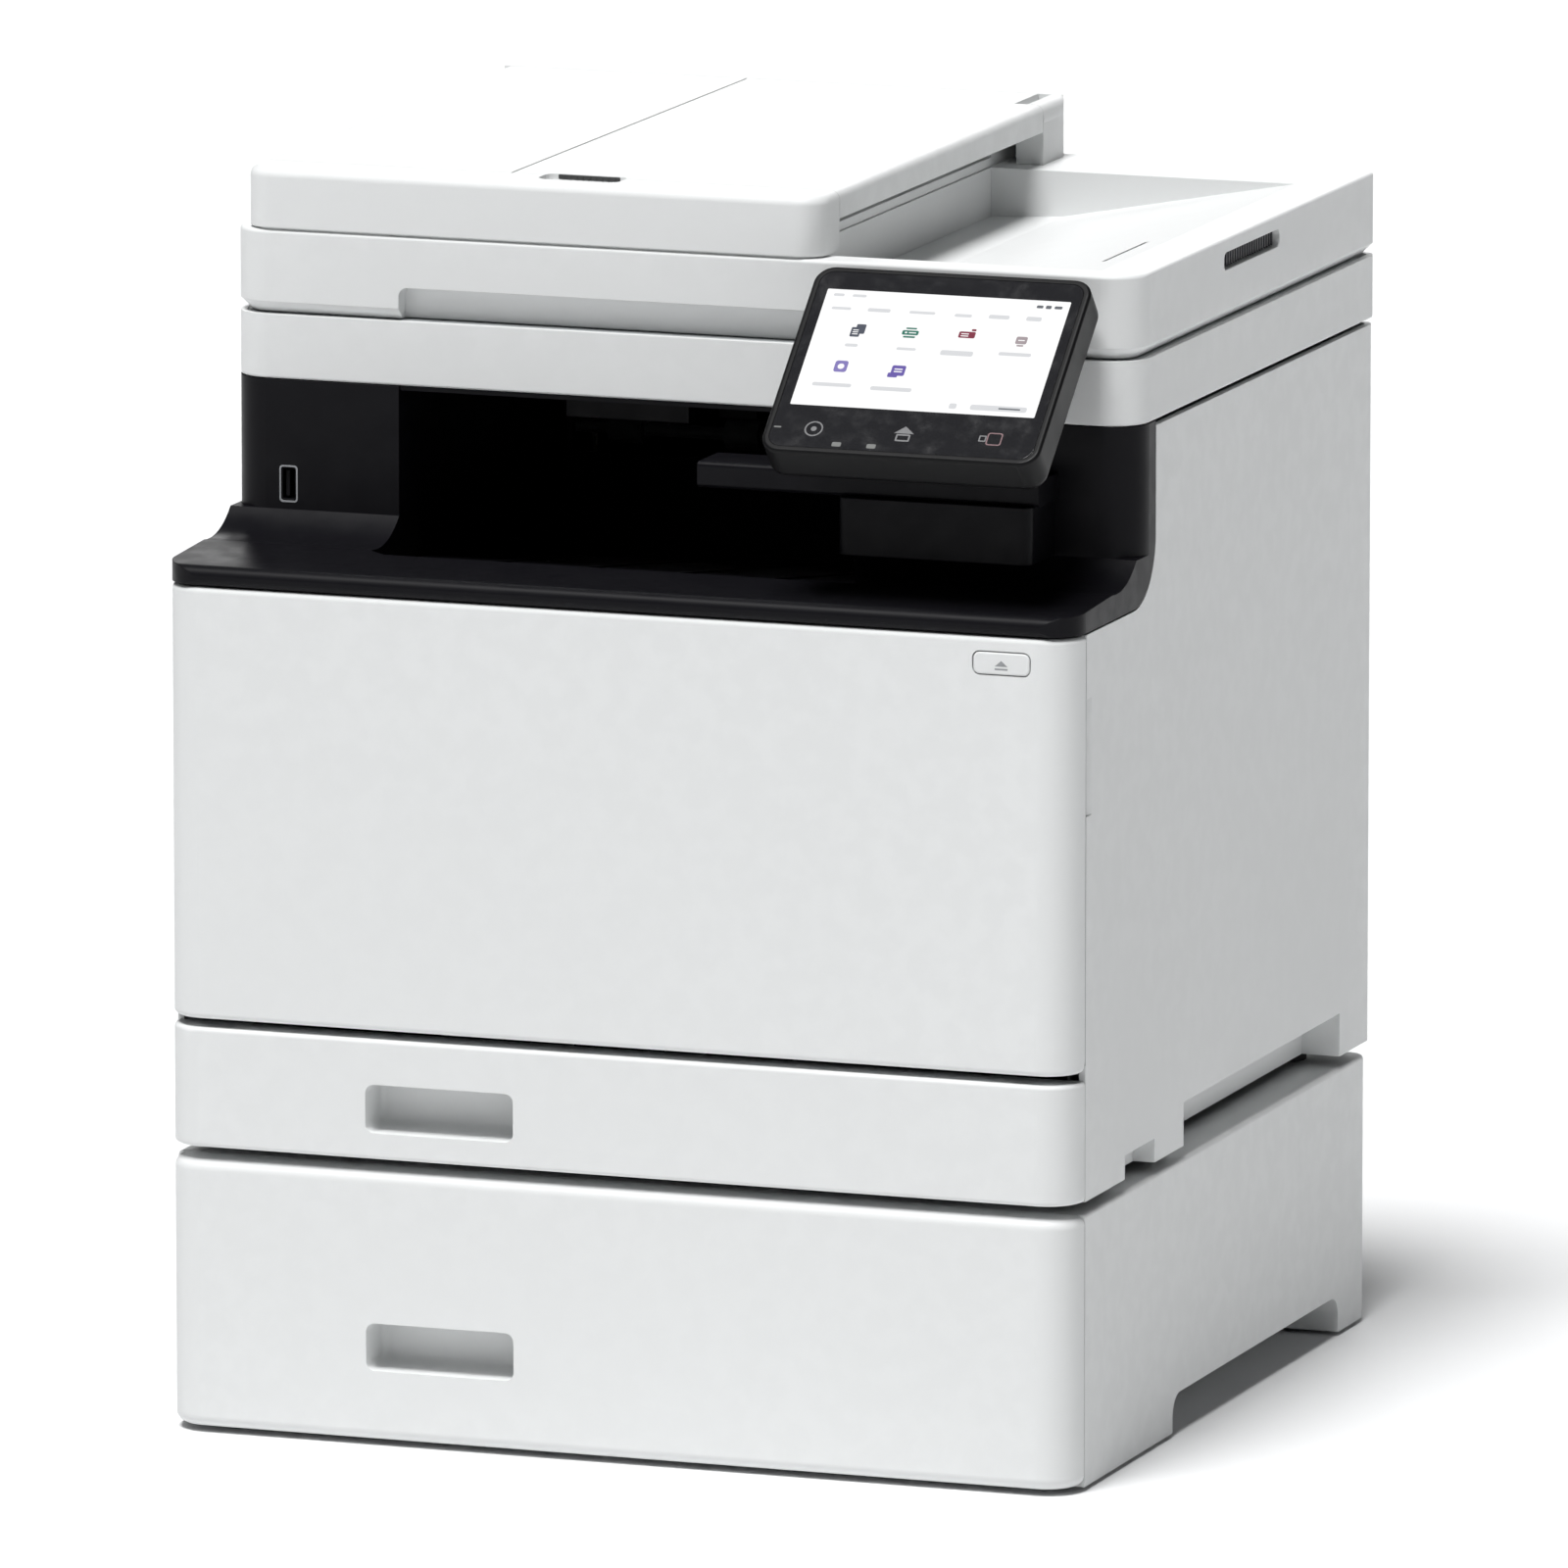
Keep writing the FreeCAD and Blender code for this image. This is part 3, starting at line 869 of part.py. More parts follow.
# ---- lid with sheet output recess ------------------------------------------------------------
def build_lid():
    lid = prism(-HALF, HALF, UPPER_FRONT, ADF_BACK, LID_BOTTOM, LID_TOP, CORNER_R, REAR_R)
    lid = round_top_edges(lid, LID_TOP, 1.6)
    rear_low = edges_where(lid, lambda e: is_along(e, vec(1, 0, 0)) and at(e, y=ADF_BACK, z=LID_BOTTOM))
    lid = lid.makeChamfer(5, rear_low)
    y0, y1 = UPPER_FRONT + 12, ADF_BACK - SKIN - 2
    hollow_left = prism(-HALF + SKIN, 40, y0, y1, LID_BOTTOM - 1, LID_TOP - SKIN, 4, 4)
    hollow_right = box(39, HALF - 24, y0, y1, LID_BOTTOM - 1, RECESS_DEEP - SKIN)
    hollow_rear = box(39, HALF - 24, RECESS_Y1 + 4, y1, LID_BOTTOM - 1, LID_TOP - SKIN)
    recess = slab_xz([(RECESS_X0, LID_TOP + 1), (RECESS_X0, RECESS_DEEP), (80, RECESS_DEEP + 1.5),
                      (RECESS_X1, LID_TOP), (RECESS_X1, LID_TOP + 1)], RECESS_Y0, RECESS_Y1)
    grip = box(-GRIP_HALF, GRIP_HALF, UPPER_FRONT - 1, UPPER_FRONT + 9, LID_BOTTOM - 1, GRIP_TOP)
    grip_ends = edges_where(grip, lambda e: is_along(e, vec(0, 1, 0)) and at(e, z=GRIP_TOP))
    grip = grip.makeFillet(4, grip_ends)
    side_slot = round_slot_x(HALF - 9, HALF + 1, 202, 279, 513, 521, 3.4)
    mark = box(177, 179, 139, 199, LID_TOP - 6, LID_TOP + 1)
    lid = cut(lid, [hollow_left, hollow_right, hollow_rear, recess, grip, side_slot, mark])
    for side in (-1, 1):
        x = side * HINGE_X
        boss = box(x - 23, x + 23, 403, ADF_BACK - 1.5, LID_AXIS_Z - 4, LID_AXIS_Z + 14)
        boss = boss.makeChamfer(3, edges_where(boss, lambda e: is_along(e, vec(1, 0, 0))
                                               and at(e, y=ADF_BACK - 1.5, z=LID_AXIS_Z - 4)))
        lid = lid.fuse(boss)
        lid = lid.cut(box(x - 12.6, x + 12.6, 402, ADF_BACK + 1, LID_BOTTOM - 1, LID_AXIS_Z + 9))
        lid = lid.cut(rod_x(x - 20.6, x + 20.6, LID_AXIS_Y, LID_AXIS_Z, LID_PIN_R + RUN_FIT))
    return lid.removeSplitter()


def build_platen_pad():
    return prism(-172, 164, 122, 366, LID_BOTTOM, 500.5, 2, 2)


# ---- document feeder -------------------------------------------------------------------------
def build_adf_frame():
    """Fixed part of the feeder: front strip, rear strip, hinge block, floor and roller bearings."""
    strip = prism(ADF_LEFT, ADF_RIGHT, UPPER_FRONT, ADF_STRIP_Y + 40, ADF_BOTTOM, ADF_TOP, ADF_CORNER_R, 0)
    strip = round_top_edges(strip, ADF_TOP, 4.0, ADF_STRIP_Y + 40)
    # the plinth beneath is set back, which leaves a thin shadow line round the feeder
    plinth = prism(ADF_LEFT + ADF_PLINTH, ADF_RIGHT - ADF_PLINTH, UPPER_FRONT + ADF_PLINTH, ADF_STRIP_Y + 1,
                   LID_TOP, ADF_BOTTOM, ADF_CORNER_R - ADF_PLINTH, 0)
    strip = strip.fuse(plinth).cut(box(-FAR, FAR, ADF_STRIP_Y, FAR, 0, 2 * FAR))
    strip = strip.cut(prism(ADF_LEFT + SKIN, ADF_RIGHT - SKIN, UPPER_FRONT + SKIN, ADF_STRIP_Y - 2,
                            LID_TOP + 2, ADF_TOP - SKIN, ADF_CORNER_R - SKIN, 0))
    finger = round_slot_z(-72, -34, 96, ADF_STRIP_Y + 5, ADF_TOP - 2.6, ADF_TOP + 1, 5)
    strip = strip.cut(finger)
    rear = prism(ADF_LEFT, ADF_RIGHT, 412.4, ADF_BACK, LID_TOP, ADF_TOP, 0, 4)
    block = fuse([box(53, ADF_RIGHT, 380, 413, LID_TOP, DOC_TRAY_AXIS_Z),
                  box(DOC_TRAY_AXIS_X, ADF_RIGHT, 380, 413, DOC_TRAY_AXIS_Z - 1, ADF_TOP),
                  rod_y(DOC_TRAY_AXIS_X, 380, 413, DOC_TRAY_AXIS_Z, ADF_TOP - DOC_TRAY_AXIS_Z)])
    corner = edges_where(block, lambda e: is_along(e, vec(0, 1, 0)) and at(e, x=ADF_RIGHT, z=ADF_TOP))
    block = block.makeFillet(4, corner)
    rear_corner = box(ADF_RIGHT - ADF_CORNER_R, ADF_RIGHT + 1, ADF_BACK - ADF_CORNER_R, ADF_BACK + 1,
                      LID_TOP - 1, ADF_TOP + 1)
    rear_corner = rear_corner.cut(rod_z(ADF_RIGHT - ADF_CORNER_R, ADF_BACK - ADF_CORNER_R,
                                        LID_TOP - 2, ADF_TOP + 2, ADF_CORNER_R))
    block = block.cut(rear_corner)
    rear = rear.cut(rear_corner)
    floor = box(-196, FRAME_RIGHT, ADF_STRIP_Y - 1, 412.5, LID_TOP, LID_TOP + 3)
    wall = box(FRAME_RIGHT - 3, FRAME_RIGHT, ADF_STRIP_Y - 1, 412.5, LID_TOP, 541.6)
    bars = [box(-172, -100, y, y + 5, LID_TOP + 2, 546) for y in (ADF_PATH_Y - 58, ADF_PATH_Y + 53)]
    frame = fuse([strip, rear, block, floor, wall] + bars)
    exit_slot = box(FRAME_RIGHT - 4, FRAME_RIGHT + 1, ADF_PATH_Y - 110, ADF_PATH_Y + 110, 531.5, 537)
    holes = [rod_y(PICK_X, ADF_PATH_Y - 60, ADF_PATH_Y + 60, PICK_Z, ADF_SHAFT_R + RUN_FIT),
             rod_y(FEED_X, ADF_PATH_Y - 60, ADF_PATH_Y + 60, FEED_Z, ADF_SHAFT_R + RUN_FIT), exit_slot]
    frame = cut(frame, holes)
    stubs = [rod_y(FEED_COVER_AXIS_X, ADF_STRIP_Y - 2, ADF_STRIP_Y + 3, FEED_COVER_AXIS_Z, 1.6),
             rod_y(FEED_COVER_AXIS_X, 409.4, 413, FEED_COVER_AXIS_Z, 1.6),
             rod_y(DOC_TRAY_AXIS_X, ADF_STRIP_Y - 2, ADF_STRIP_Y + 4, DOC_TRAY_AXIS_Z, 1.8),
             rod_y(DOC_TRAY_AXIS_X, 375.6, 381, DOC_TRAY_AXIS_Z, 1.8)]
    return fuse([frame] + stubs)


def build_feed_cover():
    y0, y1 = ADF_STRIP_Y + 0.4, 412.0
    x1 = ADF_SEAM_X - 0.4
    block = box(ADF_LEFT, x1, y0 - 30, y1, 529.3, ADF_TOP)
    left_top = edges_where(block, lambda e: is_along(e, vec(0, 1, 0)) and at(e, x=ADF_LEFT, z=ADF_TOP))
    block = block.makeFillet(4, left_top)
    left_low = edges_where(block, lambda e: is_along(e, vec(0, 1, 0)) and at(e, x=ADF_LEFT, z=529.3))
    block = block.makeFillet(3, left_low)
    block = block.cut(box(-FAR, FAR, 0, y0, 0, 2 * FAR))
    hollow = box(ADF_LEFT + SKIN, x1 + 1, y0 + 2.6, y1 - 2.6, 520, ADF_TOP - SKIN)
    cover = block.cut(hollow)
    ribs = [box(x - 0.8, x + 0.8, y0 + 2, y1 - 2, ADF_TOP - 6, ADF_TOP - 2) for x in (-192, -130)]
    cover = fuse([cover] + ribs)
    # the end walls are cut back so that they swing clear of the feeder's floor
    end_low = box(-196.8, x1 + 1, y0 - 1, y1 + 1, 520, 531.0)
    cover = cover.cut(end_low)
    return cover.cut(rod_y(FEED_COVER_AXIS_X, 100, 420, FEED_COVER_AXIS_Z, 1.6 + RUN_FIT))


def build_doc_tray():
    y0, y1 = ADF_STRIP_Y + 0.4, 412.0
    x0 = ADF_SEAM_X + 0.4
    block = box(x0, ADF_RIGHT, y0 - 30, y1, DOC_TRAY_LOW, ADF_TOP)
    right = edges_where(block, lambda e: is_along(e, vec(0, 1, 0)) and at(e, x=ADF_RIGHT, z=ADF_TOP))
    block = block.makeFillet(4, right)
    block = block.cut(box(-FAR, FAR, 0, y0, 0, 2 * FAR))
    block = block.cut(box(52.4, 70, 379.6, 413, 500, 600))
    under = box(x0 + 3, 48, y0 + 3, y1 - 3, DOC_TRAY_LOW - 1, ADF_TOP - 5)
    tray = block.cut(under)
    ribs = [box(x - 0.8, x + 0.8, y0 + 2, y1 - 2, ADF_TOP - 8, ADF_TOP - 4) for x in (-60, 20)]
    rack = box(-26, -8, y0 + 20, y1 - 20, ADF_TOP - 7, ADF_TOP - 4)
    finger = round_slot_z(-72, -34, 96, ADF_STRIP_Y + 5, ADF_TOP - 2.6, ADF_TOP + 1, 5)
    tray = fuse([tray] + ribs + [rack]).cut(finger)
    return tray.cut(rod_y(DOC_TRAY_AXIS_X, 100, 382, DOC_TRAY_AXIS_Z, 1.8 + RUN_FIT))


def build_doc_guide(side):
    y = ADF_PATH_Y + side * (PAPER_W / 2 + 1)
    y0, y1 = min(y, y + side * 2.4), max(y, y + side * 2.4)
    wall = box(-50, 12, y0, y1, 534.0, ADF_TOP - 9.4)
    f0, f1 = min(y, y - side * 22), max(y, y - side * 22)
    foot = box(-40, 2, f0, f1, ADF_TOP - 9.4, ADF_TOP - 7.6)
    return fuse([wall, foot, box(-50, 12, y0, y1, ADF_TOP - 9.6, ADF_TOP - 8.6)])


def build_adf_roller(x, z, r, half):
    shaft = rod_y(x, ADF_PATH_Y - 57.6, ADF_PATH_Y + 57.6, z, ADF_SHAFT_R)
    tyre = rod_y(x, ADF_PATH_Y - half, ADF_PATH_Y + half, z, r)
    return shaft.fuse(tyre).removeSplitter()


# ---- control panel ---------------------------------------------------------------------------
def to_panel(shape):
    """Move a shape drawn flat (x across, y up the face, z outward) to its place on the machine."""
    shape = shape.copy()
    shape.rotate(vec(0, 0, 0), vec(1, 0, 0), PANEL_TILT)
    shape.translate(vec(PANEL_X, PANEL_EDGE_Y, PANEL_EDGE_Z))
    return shape


def panel_local(y, z):
    """The pivot's place in the panel's own flat coordinates."""
    a = math.radians(PANEL_TILT)
    dy, dz = y - PANEL_EDGE_Y, z - PANEL_EDGE_Z
    return dy * math.cos(a) + dz * math.sin(a), -dy * math.sin(a) + dz * math.cos(a)


PIVOT_U, PIVOT_N = panel_local(PANEL_PIVOT_Y, PANEL_PIVOT_Z)
BEZEL = 3.0
KNUCKLE_HALF = 25.0


def build_panel_housing():
    body = box(-PANEL_W / 2, PANEL_W / 2, 0, PANEL_L, -PANEL_T, 0)
    body = body.makeFillet(9, edges_where(body, lambda e: is_along(e, vec(0, 0, 1))))
    rim = [e for e in body.Edges if abs(e.BoundBox.ZMin) < 0.02 and abs(e.BoundBox.ZMax) < 0.02]
    body = body.makeFillet(1.5, rim)
    low = [e for e in body.Edges if abs(e.BoundBox.ZMax + PANEL_T) < 0.02]
    body = body.makeFillet(5, low)
    face = prism(-PANEL_W / 2 + BEZEL, PANEL_W / 2 - BEZEL, BEZEL, PANEL_L - BEZEL, -1.4, 1, 6.5, 6.5)
    notch = box(-KNUCKLE_HALF - 1, KNUCKLE_HALF + 1, PIVOT_U - 6.5, PANEL_L + 1, -PANEL_T - 1, PIVOT_N + 6.5)
    hole = rod_x(-40, 40, PIVOT_U, PIVOT_N, 2 + RUN_FIT)
    return to_panel(cut(body, [face, notch, hole]))


def build_touch_panel():
    gap = 0.15
    face = prism(-PANEL_W / 2 + BEZEL + gap, PANEL_W / 2 - BEZEL - gap, BEZEL + gap, PANEL_L - BEZEL - gap,
                 -1.35, -0.1, 6.3, 6.3)
    return to_panel(face)


def build_panel_bracket():
    bar = box(18, BLOCK_X1 + 2, BAR_FRONT, UPPER_FRONT - 0.3, 428, 439.5)
    bar = bar.makeFillet(2, edges_where(bar, lambda e: is_along(e, vec(1, 0, 0)) and at(e, y=BAR_FRONT)))
    block = prism(BLOCK_X0, BLOCK_X1, BLOCK_FRONT, UPPER_FRONT + 20, 403.0, 428.2, 4, 0)
    block = block.cut(box(0, FAR, UPPER_FRONT - 0.3, FAR, 0, 2 * FAR))
    neck = box(PANEL_X - KNUCKLE_HALF, PANEL_X + KNUCKLE_HALF, 79.2, UPPER_FRONT - 0.3, 439, 514.5)
    web = box(PANEL_X - KNUCKLE_HALF, PANEL_X + KNUCKLE_HALF, PANEL_PIVOT_Y, UPPER_FRONT - 0.3,
              PANEL_PIVOT_Z - 3, PANEL_PIVOT_Z + 2.5)
    knuckle = rod_x(PANEL_X - KNUCKLE_HALF, PANEL_X + KNUCKLE_HALF, PANEL_PIVOT_Y, PANEL_PIVOT_Z, 4.4)
    pin = rod_x(PANEL_X - 39, PANEL_X + 39, PANEL_PIVOT_Y, PANEL_PIVOT_Z, 2)
    return fuse([bar, block, neck, web, knuckle, pin])


# ---- rear sockets ----------------------------------------------------------------------------
def inlet():
    body = box(INLET_X - 14, INLET_X + 14, 392, BODY_BACK - 0.1, INLET_Z - 11, INLET_Z + 11)
    cavity = round_slot(INLET_X - 12, INLET_X + 12, 396, BODY_BACK + 1, INLET_Z - 8.5, INLET_Z + 8.5, 3)
    body = body.cut(cavity)
    pins = []
    for x, z in ((-7, -2), (0, 2.5), (7, -2)):
        pins.append(box(INLET_X + x - 1, INLET_X + x + 1, 394, 409.5, INLET_Z + z - 2.2, INLET_Z + z + 2.2))
    return fuse([body] + pins)


def rear_ports():
    body = box(PORTS_X - 13, PORTS_X + 13, 398, BODY_BACK - 0.4, PORTS_Z - 20, PORTS_Z + 20)
    lan = box(PORTS_X - 7.5, PORTS_X + 7.5, 402, BODY_BACK + 1, PORTS_Z + 3, PORTS_Z + 15)
    usb = box(PORTS_X - 5, PORTS_X + 5, 402, BODY_BACK + 1, PORTS_Z - 15, PORTS_Z - 5)
    tongue = box(PORTS_X - 3, PORTS_X + 3, 401, 411, PORTS_Z - 11.6, PORTS_Z - 8.4)
    return cut(body, [lan, usb]).fuse(tongue).removeSplitter()


def switch_frame():
    body = box(SWITCH_X - 8.2, SWITCH_X + 8.2, 402, BODY_BACK - 0.1, SWITCH_Z - 11, SWITCH_Z + 11)
    return body.cut(box(SWITCH_X - 6.4, SWITCH_X + 6.4, 404, BODY_BACK + 1, SWITCH_Z - 9.4, SWITCH_Z + 9.4))


def build_rocker():
    """Rocker seen from the side: a shallow V that tips about a pin through its middle."""
    return slab_yz([(409.4, SWITCH_Z - 8.6), (414.2, SWITCH_Z - 8.6), (413.6, SWITCH_Z),
                    (415.6, SWITCH_Z + 8.2), (410.6, SWITCH_Z + 8.6), (408.4, SWITCH_Z)],
                   SWITCH_X - 6.0, SWITCH_X + 6.0)


# ---- write every part ------------------------------------------------------------------------
def save_all():
    save("feeder_housing", build_feeder_housing())
    save("rubber_feet", build_feet())
    for number, cassette in CASSETTES.items():
        name = "cassette_%d_" % number
        save(name + "front", cassette.front())
        save(name + "tray", cassette.tray())
        save(name + "lift_plate", cassette.lift_plate())
        save(name + "guide_left", cassette.side_guide(-1))
        save(name + "guide_right", cassette.side_guide(1))
        save(name + "guide_rear", cassette.rear_guide())
    save("pickup_roller_1", build_pickup_roller(PICKUP_Y, PICKUP1_Z))
    save("pickup_roller_2", build_pickup_roller(PICKUP_Y, PICKUP2_Z))
    save("chassis", build_chassis())
    save("side_cover_left", build_side_cover(-1))
    save("side_cover_right", build_side_cover(1))
    save("rear_panel", build_rear_panel())
    save("rear_cover", build_rear_cover())
    save("front_door", build_front_door())
    save("door_button", build_door_button())
    save("front_frame", build_front_frame())
    save("output_tray", build_output_tray())
    save("cavity_back", build_cavity_back())
    save("exit_roller", build_exit_roller())
    save("toner_drawer", build_toner_drawer())
    for index, name in enumerate(TONERS):
        save(name, build_cartridge(index))
    save("transfer_belt", build_transfer_belt())
    save("laser_unit", build_laser_unit())
    save("fuser_frame", build_fuser_frame())
    save("fuser_roller", build_roller_x(116, FUSER_Y, FUSER_Z, 13, 132, 5))
    save("pressure_roller", build_roller_x(116, PRESS_Y, FUSER_Z, 13, 132, 4))
    save("main_board", build_main_board())
    save("power_supply", build_power_supply())
    save("drive_unit", build_drive_unit())
    save("scanner_base", build_scanner_base())
    save("scanner_top", build_scanner_top())
    save("platen_glass", build_glass())
    save("guide_rod", rod_x(-HALF + SKIN, HALF - SKIN, ROD_Y, ROD_Z, ROD_R))
    save("scan_carriage", build_carriage())
    save("hinge_brackets", Part.makeCompound(door_hinges() + lid_hinges()))
    save("lid", build_lid())
    save("platen_pad", build_platen_pad())
    save("adf_frame", build_adf_frame())
    save("adf_feed_cover", build_feed_cover())
    save("adf_doc_tray", build_doc_tray())
    save("adf_guide_front", build_doc_guide(-1))
    save("adf_guide_rear", build_doc_guide(1))
    save("adf_pick_roller", build_adf_roller(PICK_X, PICK_Z, 9, 20))
    save("adf_feed_roller", build_adf_roller(FEED_X, FEED_Z, 8, 45))
    save("panel_housing", build_panel_housing())
    save("touch_panel", build_touch_panel())
    save("panel_bracket", build_panel_bracket())
    save("sockets", Part.makeCompound([inlet(), switch_frame(), rear_ports(), usb_port()]))
    save("power_rocker", build_rocker())


save_all()
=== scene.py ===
"""Looks of the desktop multifunction copier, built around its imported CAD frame.

Places are metres, in the frame's own axes. Outlines drawn on a placement are millimetres.
"""

import json
import math

import bmesh
import bpy
from mathutils import Matrix, Vector

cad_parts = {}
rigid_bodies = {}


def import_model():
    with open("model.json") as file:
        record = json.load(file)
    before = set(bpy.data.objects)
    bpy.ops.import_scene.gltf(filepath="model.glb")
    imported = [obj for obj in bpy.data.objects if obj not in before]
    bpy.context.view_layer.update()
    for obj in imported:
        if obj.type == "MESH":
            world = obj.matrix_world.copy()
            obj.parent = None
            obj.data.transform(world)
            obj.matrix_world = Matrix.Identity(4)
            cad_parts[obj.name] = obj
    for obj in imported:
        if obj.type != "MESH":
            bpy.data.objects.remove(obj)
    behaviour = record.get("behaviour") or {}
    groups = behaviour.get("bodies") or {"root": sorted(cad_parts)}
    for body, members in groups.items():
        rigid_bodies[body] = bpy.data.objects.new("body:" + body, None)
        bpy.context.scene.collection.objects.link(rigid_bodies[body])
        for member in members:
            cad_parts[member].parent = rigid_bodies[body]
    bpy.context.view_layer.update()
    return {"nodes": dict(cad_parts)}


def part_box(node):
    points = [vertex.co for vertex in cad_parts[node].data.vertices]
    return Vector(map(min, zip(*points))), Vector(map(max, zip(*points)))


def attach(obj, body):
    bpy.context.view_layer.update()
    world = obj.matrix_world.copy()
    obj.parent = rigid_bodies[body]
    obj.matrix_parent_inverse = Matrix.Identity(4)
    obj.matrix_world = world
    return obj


MM = 0.001

for leftover in list(bpy.data.objects):
    bpy.data.objects.remove(leftover)
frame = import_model()
scene = bpy.context.scene
nodes = frame["nodes"]

# ---------------------------------------------------------------- camera, light, backdrop

CAMERA_AZIMUTH = math.radians(19.9145)
CAMERA_ELEVATION = math.radians(10.3482)
CAMERA_AWAY = 9.2136
CAMERA_AIM = Vector((0.0, -0.0016, 0.26699))
CAMERA_LENS = 472.68
SENSOR_WIDTH = 36.0
CLIP_END = 100.0

LIGHT_COLOUR = (0.94, 0.96, 0.98, 1.0)
LIGHT_STRENGTH = 0.06
BACKDROP_COLOUR = (0.99, 0.99, 0.99, 1.0)


def add_camera():
    """A long lens at the front right of the machine and a little above it."""
    data = bpy.data.cameras.new("camera")
    data.lens = CAMERA_LENS
    data.sensor_width = SENSOR_WIDTH
    data.clip_end = CLIP_END
    camera = bpy.data.objects.new("camera", data)
    scene.collection.objects.link(camera)
    backwards = Vector((
        math.sin(CAMERA_AZIMUTH) * math.cos(CAMERA_ELEVATION),
        -math.cos(CAMERA_AZIMUTH) * math.cos(CAMERA_ELEVATION),
        math.sin(CAMERA_ELEVATION),
    ))
    camera.location = CAMERA_AIM + backwards * CAMERA_AWAY
    camera.rotation_euler = (-backwards).to_track_quat("-Z", "Y").to_euler()
    scene.camera = camera


def sunlight(name, towards, strength, angle):
    """Even light from the direction given, its disc wide enough to leave no hard shadow."""
    data = bpy.data.lights.new(name, "SUN")
    data.energy = strength * math.pi
    data.angle = math.radians(angle)
    light = bpy.data.objects.new(name, data)
    scene.collection.objects.link(light)
    light.rotation_euler = Vector(towards).to_track_quat("Z", "Y").to_euler()


def softbox(name, at, aim, size, power):
    """A rectangular area light, mostly for its reflection."""
    data = bpy.data.lights.new(name, "AREA")
    data.shape = "RECTANGLE"
    data.size, data.size_y = size
    data.energy = power
    light = bpy.data.objects.new(name, data)
    scene.collection.objects.link(light)
    light.location = at
    light.rotation_euler = (Vector(aim) - Vector(at)).to_track_quat("-Z", "Y").to_euler()


def add_world():
    """A dim even sky for the light, and a near-white backdrop behind the floor."""
    world = bpy.data.worlds.new("studio")
    scene.world = world
    world.use_nodes = True
    made, links = world.node_tree.nodes, world.node_tree.links
    sky = made["Background"]
    sky.inputs["Color"].default_value = LIGHT_COLOUR
    sky.inputs["Strength"].default_value = LIGHT_STRENGTH
    backdrop = made.new("ShaderNodeBackground")
    backdrop.inputs["Color"].default_value = BACKDROP_COLOUR
    path = made.new("ShaderNodeLightPath")
    either = made.new("ShaderNodeMixShader")
    links.new(path.outputs["Is Camera Ray"], either.inputs["Fac"])
    links.new(sky.outputs["Background"], either.inputs[1])
    links.new(backdrop.outputs["Background"], either.inputs[2])
    links.new(either.outputs["Shader"], made["World Output"].inputs["Surface"])


add_camera()
scene.view_settings.view_transform = "Standard"
sunlight("overhead_key", towards=(-0.06, -0.34, 1.0), strength=1.3, angle=24.0)
sunlight("rear_fill", towards=(-0.2, 0.9, 0.4), strength=0.15, angle=30.0)
softbox("front_window", at=(-1.2, -4.2, 2.6), aim=(0.0, -0.2, 0.3), size=(2.6, 1.2), power=1.5)
add_world()


# ---------------------------------------------------------------- material helpers


